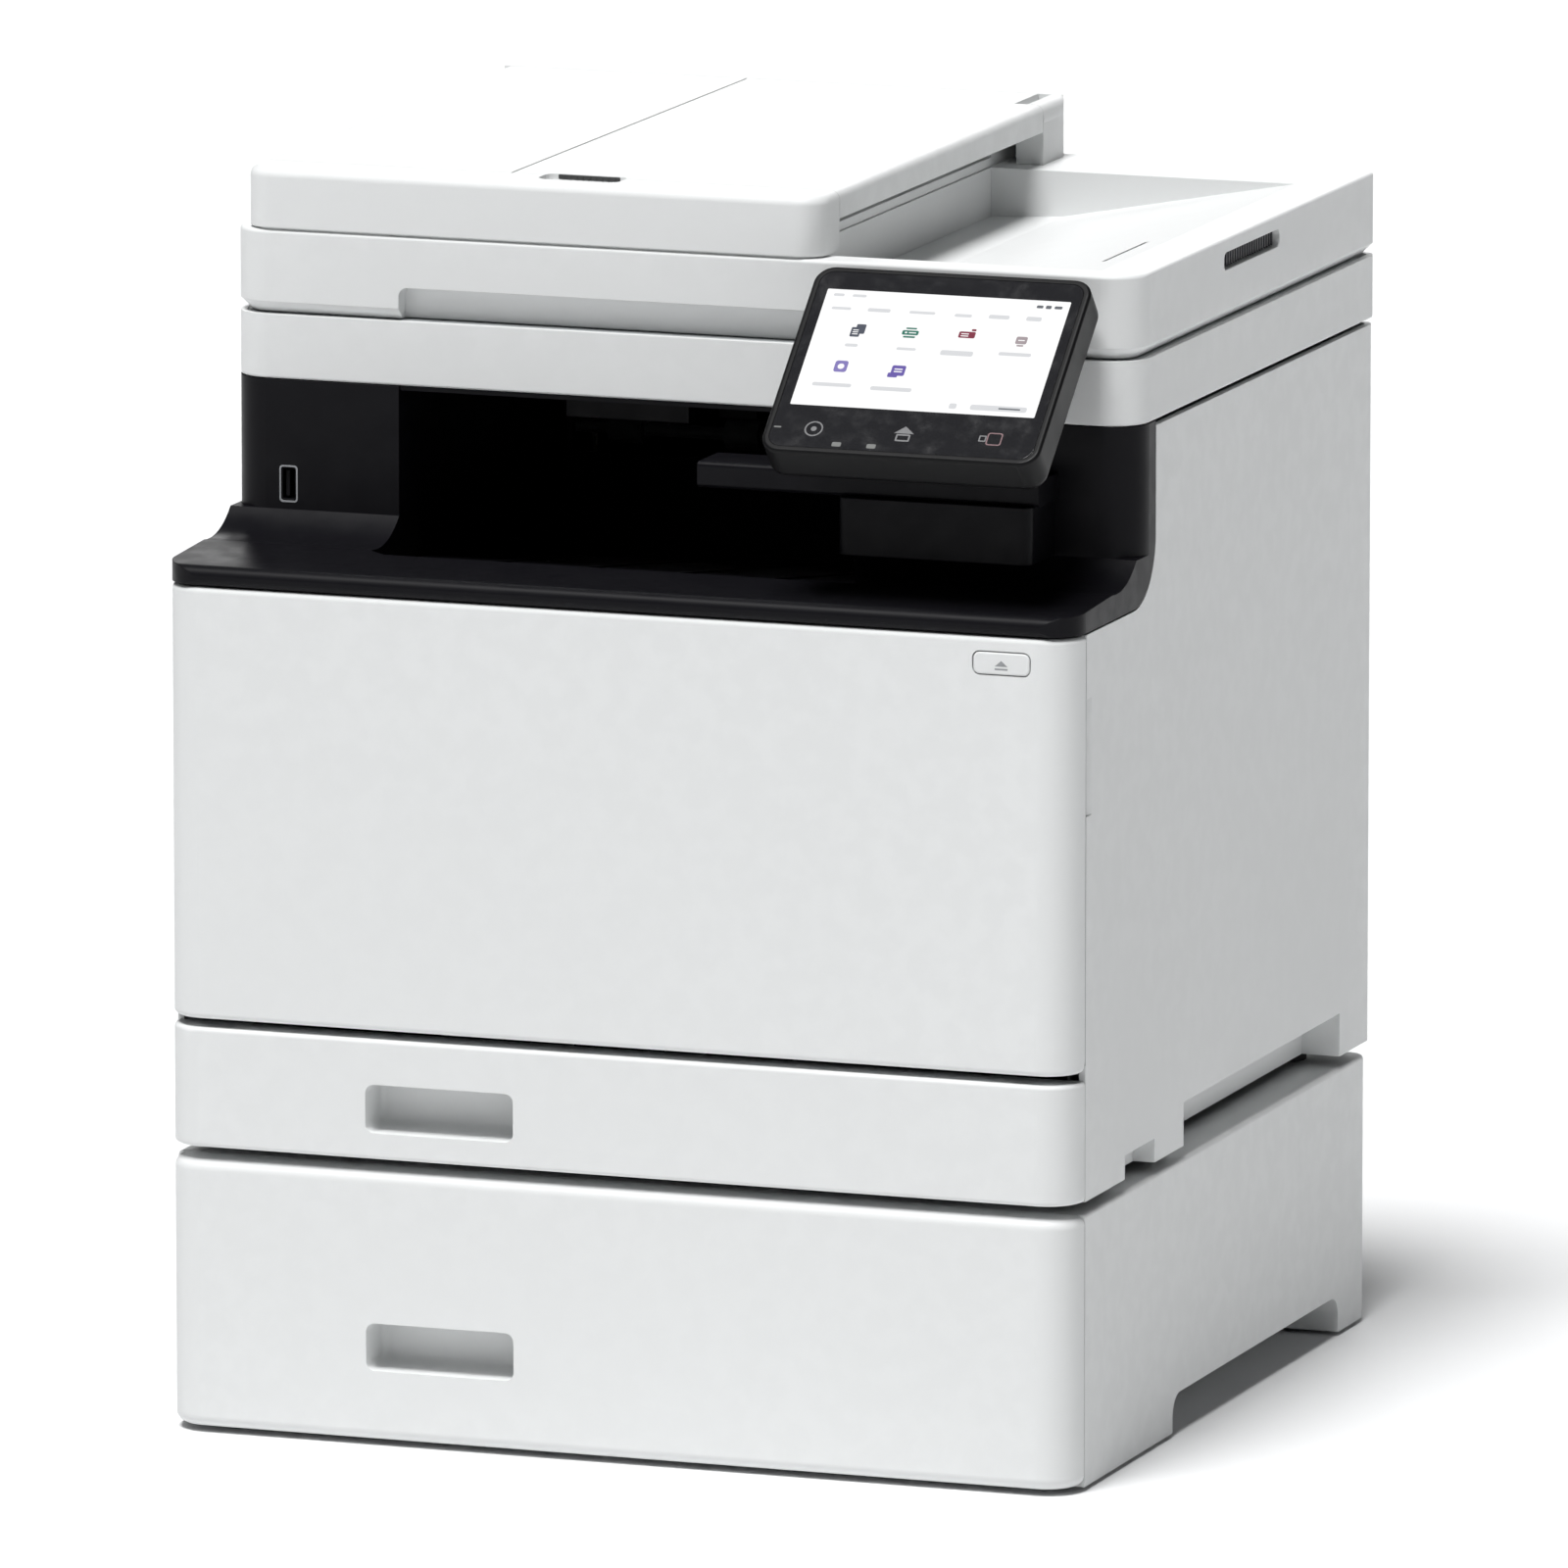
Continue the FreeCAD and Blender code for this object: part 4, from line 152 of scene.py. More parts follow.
class Tree:
    """A material's node tree with short ways to add and join nodes."""

    def __init__(self, name):
        self.material = bpy.data.materials.new(name)
        self.material.use_nodes = True
        self.nodes = self.material.node_tree.nodes
        self.links = self.material.node_tree.links
        self.shader = self.nodes["Principled BSDF"]
        self.place = self.add("ShaderNodeTexCoord").outputs["Object"]

    def add(self, kind, **settings):
        node = self.nodes.new(kind)
        for key, value in settings.items():
            setattr(node, key, value)
        return node

    def put(self, socket, value):
        """Join an output to a socket, or set the socket's own value."""
        if isinstance(value, bpy.types.NodeSocket):
            self.links.new(value, socket)
        else:
            socket.default_value = value

    def finish(self, **inputs):
        """Fill the shader's sockets, named with _ for each space, and return the material."""
        for name, value in inputs.items():
            self.put(self.shader.inputs[name.replace("_", " ")], value)
        return self.material

    def stretched(self, scale):
        mapping = self.add("ShaderNodeMapping")
        self.put(mapping.inputs["Vector"], self.place)
        mapping.inputs["Scale"].default_value = scale
        return mapping.outputs["Vector"]

    def noise(self, scale, detail=2.0, rough=0.5, along=None):
        """Soft noise. Its scale is in waves per metre, as in cells."""
        node = self.add("ShaderNodeTexNoise")
        self.put(node.inputs["Vector"], along or self.place)
        node.inputs["Scale"].default_value = scale
        node.inputs["Detail"].default_value = detail
        node.inputs["Roughness"].default_value = rough
        return node.outputs["Fac"]

    def cells(self, scale, output="Distance"):
        node = self.add("ShaderNodeTexVoronoi", feature="F1")
        self.put(node.inputs["Vector"], self.place)
        node.inputs["Scale"].default_value = scale
        return node.outputs[output]

    def ramp(self, value, low, high, out_low=0.0, out_high=1.0):
        node = self.add("ShaderNodeMapRange")
        self.put(node.inputs["Value"], value)
        ends = {"From Min": low, "From Max": high, "To Min": out_low, "To Max": out_high}
        for name, number in ends.items():
            node.inputs[name].default_value = number
        return node.outputs["Result"]

    def combine(self, kind, first, second):
        node = self.add("ShaderNodeMath", operation=kind)
        self.put(node.inputs[0], first)
        self.put(node.inputs[1], second)
        return node.outputs["Value"]

    def blend(self, factor, first, second):
        node = self.add("ShaderNodeMix", data_type="RGBA")
        self.put(node.inputs[0], factor)
        self.put(node.inputs[6], (*first, 1.0) if isinstance(first, tuple) else first)
        self.put(node.inputs[7], (*second, 1.0) if isinstance(second, tuple) else second)
        return node.outputs[2]

    def worn_edges(self):
        """1 on convex edges, broken up by noise."""
        point = self.add("ShaderNodeNewGeometry").outputs["Pointiness"]
        edge = self.ramp(point, 0.53, 0.6)
        return self.combine("MULTIPLY", edge, self.ramp(self.noise(90.0, 4.0), 0.42, 0.62))

    def relief(self, height, distance, strength, below=None):
        bump = self.add("ShaderNodeBump")
        self.put(bump.inputs["Height"], height)
        bump.inputs["Distance"].default_value = distance
        bump.inputs["Strength"].default_value = strength
        if below is not None:
            self.put(bump.inputs["Normal"], below)
        return bump.outputs["Normal"]

    def rounded(self, radius):
        node = self.add("ShaderNodeBevel", samples=4)
        node.inputs["Radius"].default_value = radius
        return node.outputs["Normal"]


def shade(colour, factor):
    return tuple(min(1.0, channel * factor) for channel in colour)


# ---------------------------------------------------------------- materials

GRAIN = 2600.0          # spark-eroded mould grain, in waves per metre
DUST_COLOUR = (0.62, 0.6, 0.56)
MOULDED_EDGE = 0.0006
PLASTIC_IOR = 1.49
GLASS_IOR = 1.52


def moulded(name, colour, rough=(0.4, 0.47), dust=0.012, gloss=0.5):
    """Injection-moulded plastic: fine grain, slow colour drift, slightly polished worn edges."""
    t = Tree(name)
    drift = t.ramp(t.noise(3.0), 0.3, 0.7)
    base = t.blend(drift, shade(colour, 0.993), shade(colour, 1.006))
    speck = t.ramp(t.noise(GRAIN * 0.4, 2.0, 0.7), 0.35, 0.7)
    base = t.blend(t.combine("MULTIPLY", speck, 0.05), base, shade(colour, 0.9))
    dusty = t.ramp(t.noise(38.0, 5.0, 0.65), 0.56, 0.8, 0.0, dust)
    base = t.blend(dusty, base, DUST_COLOUR)
    wear = t.worn_edges()
    base = t.blend(t.combine("MULTIPLY", wear, 0.25), base, shade(colour, 1.1))
    handled = t.ramp(t.noise(50.0, 3.0), 0.3, 0.75, rough[0], rough[1])
    polished = t.combine("SUBTRACT", handled, t.combine("MULTIPLY", wear, 0.06))
    grain = t.relief(t.noise(GRAIN, 2.0, 0.6), 0.0001, 0.05, t.rounded(MOULDED_EDGE))
    t.finish(Base_Color=base, Roughness=polished, Normal=grain)
    return t.finish(IOR=PLASTIC_IOR, Specular_IOR_Level=gloss)


def sheet_metal(name, colour=(0.62, 0.63, 0.64)):
    """Zinc-plated sheet steel: rolled streaks and faint spangle."""
    t = Tree(name)
    tint = t.ramp(t.cells(140.0, "Color"), 0.0, 1.0)
    base = t.blend(tint, shade(colour, 0.88), shade(colour, 1.06))
    stain = t.ramp(t.noise(16.0, 5.0, 0.6), 0.55, 0.8, 0.0, 0.35)
    base = t.blend(stain, base, shade(colour, 0.62))
    streak = t.noise(220.0, 3.0, 0.6, t.stretched((0.04, 1.0, 1.0)))
    dull = t.ramp(streak, 0.3, 0.7, 0.28, 0.46)
    rolled = t.relief(streak, 0.0001, 0.1, t.rounded(0.0004))
    return t.finish(Base_Color=base, Metallic=1.0, Roughness=dull, Normal=rolled)


def turned_steel(name):
    """Ground bright shaft: fine rings round its length and oil-dark patches."""
    t = Tree(name)
    ring = t.noise(900.0, along=t.stretched((1.0, 0.05, 0.05)))
    oil = t.ramp(t.noise(24.0, 4.0), 0.4, 0.75)
    base = t.blend(oil, (0.74, 0.75, 0.76), (0.5, 0.5, 0.49))
    bright = t.ramp(ring, 0.3, 0.7, 0.12, 0.28)
    return t.finish(Base_Color=base, Metallic=1.0, Roughness=bright, Normal=t.relief(ring, 0.00005, 0.15))


def rubbery(name, colour, bands=0.0):
    """Soft rubber: chalky bloom, fine pores, and ground bands on rollers."""
    t = Tree(name)
    bloom = t.ramp(t.noise(26.0, 5.0, 0.65), 0.42, 0.75, 0.0, 0.5)
    base = t.blend(bloom, colour, tuple(channel + 0.05 for channel in colour))
    matt = t.ramp(t.noise(160.0, 3.0), 0.3, 0.7, 0.6, 0.82)
    pores = t.relief(t.noise(2200.0, 3.0, 0.7), 0.0001, 0.3)
    if bands:
        rings = t.noise(bands, 1.0, along=t.stretched((1.0, 0.03, 0.03)))
        pores = t.relief(rings, 0.0001, 0.25, pores)
    return t.finish(Base_Color=base, Roughness=matt, Normal=pores)


def toner_plastic(name, colour):
    """Toner cartridge moulding, tinted, with a little toner dust in patches."""
    t = Tree(name)
    dust = t.ramp(t.noise(34.0, 4.0, 0.6), 0.55, 0.8, 0.0, 0.06)
    base = t.blend(dust, colour, shade(colour, 0.6))
    base = t.blend(t.combine("MULTIPLY", t.worn_edges(), 0.4), base, shade(colour, 1.5))
    satin = t.ramp(t.noise(120.0, 4.0), 0.3, 0.7, 0.34, 0.55)
    grain = t.relief(t.noise(2400.0), 0.0001, 0.15, t.rounded(MOULDED_EDGE))
    return t.finish(Base_Color=base, Roughness=satin, Normal=grain)


def window_glass(name):
    """Platen glass: clear with a faint green body and wiping smears."""
    t = Tree(name)
    smear = t.noise(30.0, 5.0, 0.6, t.stretched((1.0, 0.25, 1.0)))
    base = t.blend(t.ramp(smear, 0.4, 0.7), (0.86, 0.95, 0.92), (0.93, 0.97, 0.96))
    wiped = t.ramp(smear, 0.35, 0.75, 0.01, 0.07)
    return t.finish(Base_Color=base, Transmission_Weight=0.92, IOR=GLASS_IOR, Roughness=wiped)


def cover_glass(name):
    """Black-backed touch glass: near-mirror gloss with faint fingerprints."""
    t = Tree(name)
    prints = t.noise(110.0, 6.0, 0.65)
    base = t.blend(t.ramp(prints, 0.45, 0.7), (0.016, 0.016, 0.018), (0.022, 0.022, 0.024))
    smudged = t.ramp(prints, 0.45, 0.72, 0.06, 0.2)
    wavy = t.relief(t.noise(60.0), 0.0001, 0.03, t.rounded(0.0004))
    return t.finish(Base_Color=base, Roughness=smudged, Coat_Weight=0.4, Coat_Roughness=0.05, Normal=wavy)


def foam_pad(name):
    """White backing sheet of the original cover: a fine matt weave over sponge."""
    t = Tree(name)
    weave = t.cells(900.0)
    base = t.blend(t.ramp(t.noise(9.0, 3.0), 0.3, 0.7), (0.84, 0.84, 0.82), (0.9, 0.9, 0.89))
    grime = t.ramp(t.noise(40.0, 6.0), 0.6, 0.85, 0.0, 0.15)
    base = t.blend(grime, base, (0.66, 0.64, 0.6))
    matt = t.ramp(weave, 0.0, 0.6, 0.7, 0.9)
    return t.finish(Base_Color=base, Roughness=matt, Normal=t.relief(weave, 0.0002, 0.4, t.rounded(0.001)))


def board(name):
    """Circuit board: green resist over copper tracks, and tinned pads."""
    t = Tree(name)
    lines = t.ramp(t.noise(180.0, 1.0), 0.48, 0.52)
    base = t.blend(lines, (0.012, 0.1, 0.045), (0.02, 0.16, 0.07))
    pads = t.ramp(t.cells(260.0), 0.12, 0.16, 1.0, 0.0)
    base = t.blend(pads, base, (0.75, 0.72, 0.6))
    metal = t.combine("MULTIPLY", pads, 0.9)
    sheen = t.ramp(t.noise(300.0), 0.3, 0.7, 0.25, 0.42)
    raised = t.relief(t.combine("ADD", lines, pads), 0.00008, 0.5)
    return t.finish(Base_Color=base, Metallic=metal, Roughness=sheen, Normal=raised)


def glow(name, colour, strength):
    """A lit patch of the display: its colour, a fine pixel mask and a slow brightness change."""
    t = Tree(name)
    pixels = t.ramp(t.cells(4200.0), 0.0, 0.6)
    slow = t.ramp(t.noise(12.0), 0.3, 0.7)
    lit = t.blend(t.combine("MULTIPLY", pixels, 0.1), colour, shade(colour, 0.93))
    lit = t.blend(t.combine("MULTIPLY", slow, 0.02), lit, shade(colour, 0.9))
    base = t.blend(slow, shade(colour, 0.04), shade(colour, 0.05))
    smudged = t.ramp(t.noise(110.0, 5.0, 0.65), 0.45, 0.72, 0.1, 0.2)
    return t.finish(Base_Color=base, Emission_Color=lit, Emission_Strength=strength, Roughness=smudged)


def printed(name, colour):
    """Ink on glass or plastic: slightly uneven cover and a dull sheen."""
    t = Tree(name)
    cover = t.ramp(t.noise(900.0, 3.0, 0.6), 0.3, 0.7)
    base = t.blend(cover, shade(colour, 0.88), shade(colour, 1.05))
    dull = t.ramp(t.noise(400.0), 0.3, 0.7, 0.4, 0.55)
    return t.finish(Base_Color=base, Roughness=dull, Normal=t.relief(cover, 0.00002, 0.2))


def floor_paper():
    """The plain pale sheet that the machine stands on."""
    t = Tree("floor_paper")
    base = t.blend(t.noise(0.6, 3.0), (0.81, 0.815, 0.82), (0.83, 0.835, 0.84))
    return t.finish(Base_Color=base, Roughness=0.9, Specular_IOR_Level=0.1)


WHITE = (0.745, 0.755, 0.755)
PALE_GREY = (0.52, 0.54, 0.55)
DARK_GREY = (0.05, 0.051, 0.056)
BLACK = (0.0056, 0.0054, 0.007)
PANEL_BLACK = (0.006, 0.006, 0.0065)
finishes = {
    "white_plastic": moulded("white_plastic", WHITE, gloss=0.22),
    "pale_grey_plastic": moulded("pale_grey_plastic", PALE_GREY, gloss=0.3),
    "dark_grey_plastic": moulded("dark_grey_plastic", DARK_GREY),
    "black_plastic": moulded("black_plastic", BLACK, rough=(0.36, 0.44), dust=0.003, gloss=0.11),
    "panel_plastic": moulded("panel_plastic", PANEL_BLACK, rough=(0.34, 0.42), dust=0.003, gloss=0.14),
    "touch_glass": cover_glass("touch_glass"),
    "steel_plate": sheet_metal("steel_plate"),
    "steel_rod": turned_steel("steel_rod"),
    "roller_rubber": rubbery("roller_rubber", (0.03, 0.03, 0.032), bands=700.0),
    "rubber": rubbery("rubber", (0.035, 0.035, 0.036)),
    "clear_glass": window_glass("clear_glass"),
    "white_pad": foam_pad("white_pad"),
    "circuit_board": board("circuit_board"),
    "toner_yellow": toner_plastic("toner_yellow", (0.62, 0.46, 0.03)),
    "toner_magenta": toner_plastic("toner_magenta", (0.5, 0.02, 0.16)),
    "toner_cyan": toner_plastic("toner_cyan", (0.01, 0.25, 0.48)),
    "toner_black": toner_plastic("toner_black", (0.02, 0.02, 0.022)),
}

for node in nodes.values():
    for place, old in enumerate(node.data.materials):
        node.data.materials[place] = finishes[old.name.split(".")[0]]


# ---------------------------------------------------------------- mesh helpers


def rounded_outline(width, height, radius, steps=5):
    """Corner points of a rounded rectangle about its middle, anticlockwise. Millimetres."""
    points = []
    for side_x, side_y, start in ((1, 1, 0), (-1, 1, 90), (-1, -1, 180), (1, -1, 270)):
        for step in range(steps + 1):
            angle = math.radians(start + 90 * step / steps)
            points.append((
                side_x * (width / 2 - radius) + radius * math.cos(angle),
                side_y * (height / 2 - radius) + radius * math.sin(angle),
            ))
    return points


def circle_outline(radius, steps, lobes=0, depth=0.0):
    """A circle, or a star of rounded lobes."""
    points = []
    for step in range(steps):
        angle = math.tau * step / steps
        reach = radius * (1 + depth * math.cos(lobes * angle))
        points.append((reach * math.cos(angle), reach * math.sin(angle)))
    return points


def moved(points, dx, dy):
    return [(x + dx, y + dy) for x, y in points]


def loop_of(mesh, points, height, place):
    return [mesh.verts.new(place @ Vector((x * MM, y * MM, height * MM))) for x, y in points]


def bridge(mesh, lower, upper):
    for index in range(len(lower)):
        after = (index + 1) % len(lower)
        mesh.faces.new((lower[index], lower[after], upper[after], upper[index]))


def shrunk(points, margin):
    """An outline drawn in towards its middle, so that its sides move by the margin."""
    middle_x = sum(x for x, _ in points) / len(points)
    middle_y = sum(y for _, y in points) / len(points)
    keep_x = 1 - margin / (max(x for x, _ in points) - middle_x)
    keep_y = 1 - margin / (max(y for _, y in points) - middle_y)
    return [(middle_x + (x - middle_x) * keep_x, middle_y + (y - middle_y) * keep_y) for x, y in points]


def add_plate(mesh, points, low, high, place, edge=0.0):
    """A flat plate with an outline of points, its upper rim softened by edge. Millimetres."""
    bottom = loop_of(mesh, points, low, place)
    shoulder = loop_of(mesh, points, high - edge, place)
    mesh.faces.new(list(reversed(bottom)))
    bridge(mesh, bottom, shoulder)
    top = shoulder
    if edge:
        top = loop_of(mesh, shrunk(points, edge), high, place)
        bridge(mesh, shoulder, top)
    mesh.faces.new(top)


def add_ring(mesh, outer, inner, low, high, place):
    """A flat frame between two outlines that have the same number of points."""
    levels = ((outer, low), (outer, high), (inner, high), (inner, low))
    loops = [loop_of(mesh, points, height, place) for points, height in levels]
    for first, second in zip(loops, loops[1:] + loops[:1]):
        bridge(mesh, first, second)


def add_frame(mesh, size, wall, radii, levels, place, at=(0.0, 0.0), steps=5):
    """A rounded rectangular ring of an outer size, a wall, and outer and inner corner radii."""
    width, height = size
    outer = moved(rounded_outline(width, height, radii[0], steps), *at)
    inner = moved(rounded_outline(width - 2 * wall, height - 2 * wall, radii[1], steps), *at)
    add_ring(mesh, outer, inner, *levels, place)


def add_screw(mesh, place):
    """A low screw head with a star recess."""
    radius, height, steps = 3.4, 1.8, 36
    profile = [
        (circle_outline(radius, steps), 0.0),
        (circle_outline(radius, steps), height * 0.35),
        (circle_outline(radius * 0.86, steps), height * 0.8),
        (circle_outline(radius * 0.6, steps), height),
        (circle_outline(radius * 0.42, steps, 6, 0.14), height),
        (circle_outline(radius * 0.36, steps, 6, 0.14), height * 0.3),
    ]
    rings = [loop_of(mesh, points, level, place) for points, level in profile]
    for first, second in zip(rings, rings[1:]):
        bridge(mesh, first, second)
    mesh.faces.new(rings[-1])


def piece(name, mesh, material, body):
    """Make an object of the bmesh, give it its material and let it ride on the body."""
    bmesh.ops.recalc_face_normals(mesh, faces=mesh.faces)
    data = bpy.data.meshes.new(name)
    mesh.to_mesh(data)
    mesh.free()
    data.materials.append(material)
    thing = bpy.data.objects.new(name, data)
    scene.collection.objects.link(thing)
    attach(thing, body)


def facing(origin, across, up):
    """A placement at origin whose x and y axes point across and up the surface."""
    x = Vector(across).normalized()
    y = Vector(up).normalized()
    z = x.cross(y)
    place = Matrix((x, y, z)).transposed().to_4x4()
    place.translation = Vector(origin)
    return place


def surface(node, start, direction):
    """Where a ray from start first meets a CAD node."""
    hit, where, _, _ = nodes[node].ray_cast(Vector(start), Vector(direction))
    if not hit:
        raise RuntimeError(f"no surface of {node} from {start}")
    return where


def corners(node):
    low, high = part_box(node)
    return Vector(low), Vector(high)


def middle(node):
    low, high = corners(node)
    return (low + high) / 2


# ---------------------------------------------------------------- touch panel

PANEL_TILT = math.radians(41.6)
GLASS_FACE = 0.625      # half the glass's thickness, as the placement is in its middle
SHEET = 0.03            # one printed or lit layer on the glass
TILE_SINK = 0.01
TILE_THICK = SHEET * 0.8
SCREEN_LEFT, SCREEN_RIGHT = -56.0, 56.5
SCREEN_BOTTOM, SCREEN_TOP = -26.0, 39.5
SCREEN_CORNER = 0.6
SCREEN_SINK = 0.2

# tiles are (x, y, width, height, corner radius) in millimetres from the glass's middle
TAB_TILES = (
    (-50.0, 36.4, 5.0, 1.5, 0.7), (-40.5, 36.4, 6.5, 1.5, 0.7),
    (-47.0, 28.9, 9.0, 1.5, 0.7), (-29.5, 28.9, 10.5, 2.0, 0.8), (-9.5, 28.9, 12.0, 1.5, 0.7),
    (9.5, 28.6, 8.0, 1.7, 0.8), (26.0, 28.9, 9.5, 2.2, 0.8), (42.0, 28.9, 7.0, 2.4, 0.8),
    (-37.0, 8.6, 6.0, 1.7, 0.8), (-11.5, 8.2, 9.0, 1.5, 0.7), (12.0, 7.4, 15.0, 2.8, 0.9),
    (38.5, 8.6, 15.0, 1.9, 0.9), (-40.0, -14.0, 18.0, 2.0, 0.9), (-12.5, -14.6, 19.0, 2.2, 0.9),
    (39.0, -22.0, 26.0, 3.0, 1.0), (18.0, -22.0, 3.4, 3.0, 0.8),
)
STATUS_TILES = (
    (43.0, 35.9, 3.0, 1.6, 0.5), (47.0, 35.9, 2.6, 1.9, 0.5), (51.5, 35.9, 3.6, 1.6, 0.5),
    (44.0, -22.0, 10.0, 0.8, 0.3),
)
ICON_COLOURS = {
    "slate": (0.1, 0.11, 0.14),
    "green": (0.05, 0.2, 0.15),
    "red": (0.25, 0.05, 0.08),
    "taupe": (0.4, 0.34, 0.36),
    "violet": (0.26, 0.22, 0.52),
    "indigo": (0.16, 0.12, 0.42),
}
ICONS = (
    ("copy", "slate", -36.0, 17.0), ("scan", "green", -12.0, 17.0), ("send", "red", 14.0, 18.0),
    ("store", "taupe", 39.5, 16.0), ("photo", "violet", -38.5, -3.5), ("files", "indigo", -12.5, -4.5),
)
ICON_SHAPES = {
    "copy": ((0.9, 0.9, 4.4, 5.4, 0.6), (-1.1, -0.9, 4.4, 5.4, 0.6)),
    "scan": ((0.0, 0.4, 7.6, 2.6, 0.7), (0.0, -2.0, 5.6, 1.0, 0.4), (0.0, 2.8, 5.0, 0.9, 0.4)),
    "send": ((0.0, 0.0, 7.6, 3.6, 0.7), (2.6, 2.8, 2.2, 1.2, 0.5)),
    "store": ((0.0, 0.6, 5.2, 4.2, 0.8), (0.0, -2.4, 3.2, 0.9, 0.4)),
    "photo": ((0.0, 0.0, 6.0, 6.4, 1.2),),
    "files": ((0.6, 0.4, 6.4, 5.8, 0.8), (-1.4, -2.2, 4.6, 2.6, 0.6)),
}
ICON_LINES = {
    "copy": ((-1.1, 0.2, 2.6, 0.45, 0.2), (-1.1, -0.9, 2.6, 0.45, 0.2), (-1.1, -2.0, 2.6, 0.45, 0.2)),
    "scan": ((-2.0, 0.4, 1.1, 0.8, 0.3), (1.0, 0.4, 3.4, 0.5, 0.2)),
    "send": ((-1.0, 0.5, 3.6, 0.5, 0.2), (-1.0, -0.7, 3.6, 0.5, 0.2)),
    "store": ((0.0, 0.6, 3.0, 0.5, 0.2),),
    "photo": ((0.0, 0.0, 3.0, 3.0, 1.4),),
    "files": ((0.6, 1.2, 3.8, 0.6, 0.2), (0.6, -0.2, 3.8, 0.6, 0.2)),
}

# the touch keys' marks: the keys are in one row under the screen
KEY_Y = -39.0
START_KEY_X, HOME_KEY_X, STOP_KEY_X = -41.5, 0.0, 41.6
START_RING, START_WALL, START_DOT = 4.2, 0.7, 1.3
HOME_ROOF = ((-4.6, 0.2), (4.6, 0.2), (0.0, 4.2))
HOME_ROOM_DROP = 2.2
SMALL_MARK_X = 36.2
INK_LEVELS = (GLASS_FACE - 0.05, GLASS_FACE + 0.02)

# small lamps: (x, y, width, height, corner radius)
LAMPS = ((-29.0, -46.9, 4.2, 2.4, 0.6), (-13.0, -46.9, 4.2, 2.4, 0.6), (-58.2, KEY_Y, 3.4, 0.8, 0.3))

panel_place = facing(middle("touch_panel"), (1, 0, 0), (0, math.cos(PANEL_TILT), math.sin(PANEL_TILT)))


def on_glass(name, mesh, material):
    piece(name, mesh, material, "control_panel")


def tile_set(name, tiles, material, layer=1, at=(0.0, 0.0)):
    """Thin rounded tiles laid on the display, moved by at."""
    mesh = bmesh.new()
    low = GLASS_FACE + SHEET * layer - TILE_SINK
    for x, y, width, height, radius in tiles:
        outline = moved(rounded_outline(width, height, radius, 3), x + at[0], y + at[1])
        add_plate(mesh, outline, low, low + TILE_THICK, panel_place)
    on_glass(name, mesh, material)


def add_display():
    """The lit screen with a plain page on it: grey bars, six tiles and a status corner."""
    white_light = glow("display_white", (1.0, 1.0, 1.0), 0.97)
    grey_light = glow("display_grey", (0.72, 0.73, 0.75), 0.95)
    dark_light = glow("display_dark", (0.16, 0.17, 0.19), 0.9)
    mesh = bmesh.new()
    outline = rounded_outline(SCREEN_RIGHT - SCREEN_LEFT, SCREEN_TOP - SCREEN_BOTTOM, SCREEN_CORNER)
    screen = moved(outline, (SCREEN_LEFT + SCREEN_RIGHT) / 2, (SCREEN_BOTTOM + SCREEN_TOP) / 2)
    add_plate(mesh, screen, GLASS_FACE - SCREEN_SINK, GLASS_FACE + SHEET, panel_place)
    on_glass("display", mesh, white_light)
    tile_set("display_tabs", TAB_TILES, grey_light)
    tile_set("display_status", STATUS_TILES, dark_light, 2)
    for label, tint, x, y in ICONS:
        ink = glow("display_" + tint, ICON_COLOURS[tint], 0.95)
        tile_set("icon_" + label, ICON_SHAPES[label], ink, 1, (x, y))
        tile_set("icon_" + label + "_lines", ICON_LINES[label], white_light, 2, (x, y))


def add_key_marks():
    """A ring with a dot, a house and a small square in grey, and a larger square in red."""
    low, high = INK_LEVELS
    mesh = bmesh.new()
    outer = moved(circle_outline(START_RING, 32), START_KEY_X, KEY_Y)
    inner = moved(circle_outline(START_RING - START_WALL, 32), START_KEY_X, KEY_Y)
    add_ring(mesh, outer, inner, low, high, panel_place)
    add_plate(mesh, moved(circle_outline(START_DOT, 20), START_KEY_X, KEY_Y), low, high, panel_place)
    add_plate(mesh, moved(HOME_ROOF, HOME_KEY_X, KEY_Y), low, high, panel_place)
    room_at = (HOME_KEY_X, KEY_Y - HOME_ROOM_DROP)
    add_frame(mesh, (6.6, 4.0), 0.8, (0.5, 0.3), INK_LEVELS, panel_place, room_at, 3)
    add_frame(mesh, (3.4, 3.4), 0.6, (0.4, 0.2), INK_LEVELS, panel_place, (SMALL_MARK_X, KEY_Y), 3)
    on_glass("key_marks", mesh, printed("key_ink", (0.13, 0.13, 0.135)))
    mesh = bmesh.new()
    add_frame(mesh, (7.0, 7.0), 0.6, (1.2, 0.8), INK_LEVELS, panel_place, (STOP_KEY_X, KEY_Y))
    on_glass("stop_key_mark", mesh, printed("key_ink_red", (0.16, 0.075, 0.085)))


def add_lamps():
    mesh = bmesh.new()
    for x, y, width, height, radius in LAMPS:
        add_plate(mesh, moved(rounded_outline(width, height, radius, 3), x, y), *INK_LEVELS, panel_place)
    on_glass("panel_lamps", mesh, glow("lamp_soft", (0.42, 0.43, 0.42), 0.55))


# ---------------------------------------------------------------- front details

side_x = corners("lid")[1].x    # the lid is as wide as the machine

USB_X, USB_Z = -0.18475, 0.4139
USB_SIDE = 0.00725              # the frame's flat face just beside the socket's opening
USB_SIZE, USB_WALL = (8.6, 16.6), 0.7

MARK_SINK, MARK_PROUD = 0.3, 0.03
MARK_ARROW = ((-3.0, -1.0), (3.0, -1.0), (0.0, 1.6))
MARK_BAR_WIDTH, MARK_BAR_HEIGHT, MARK_BAR_Y = 6.0, 0.8, -2.2

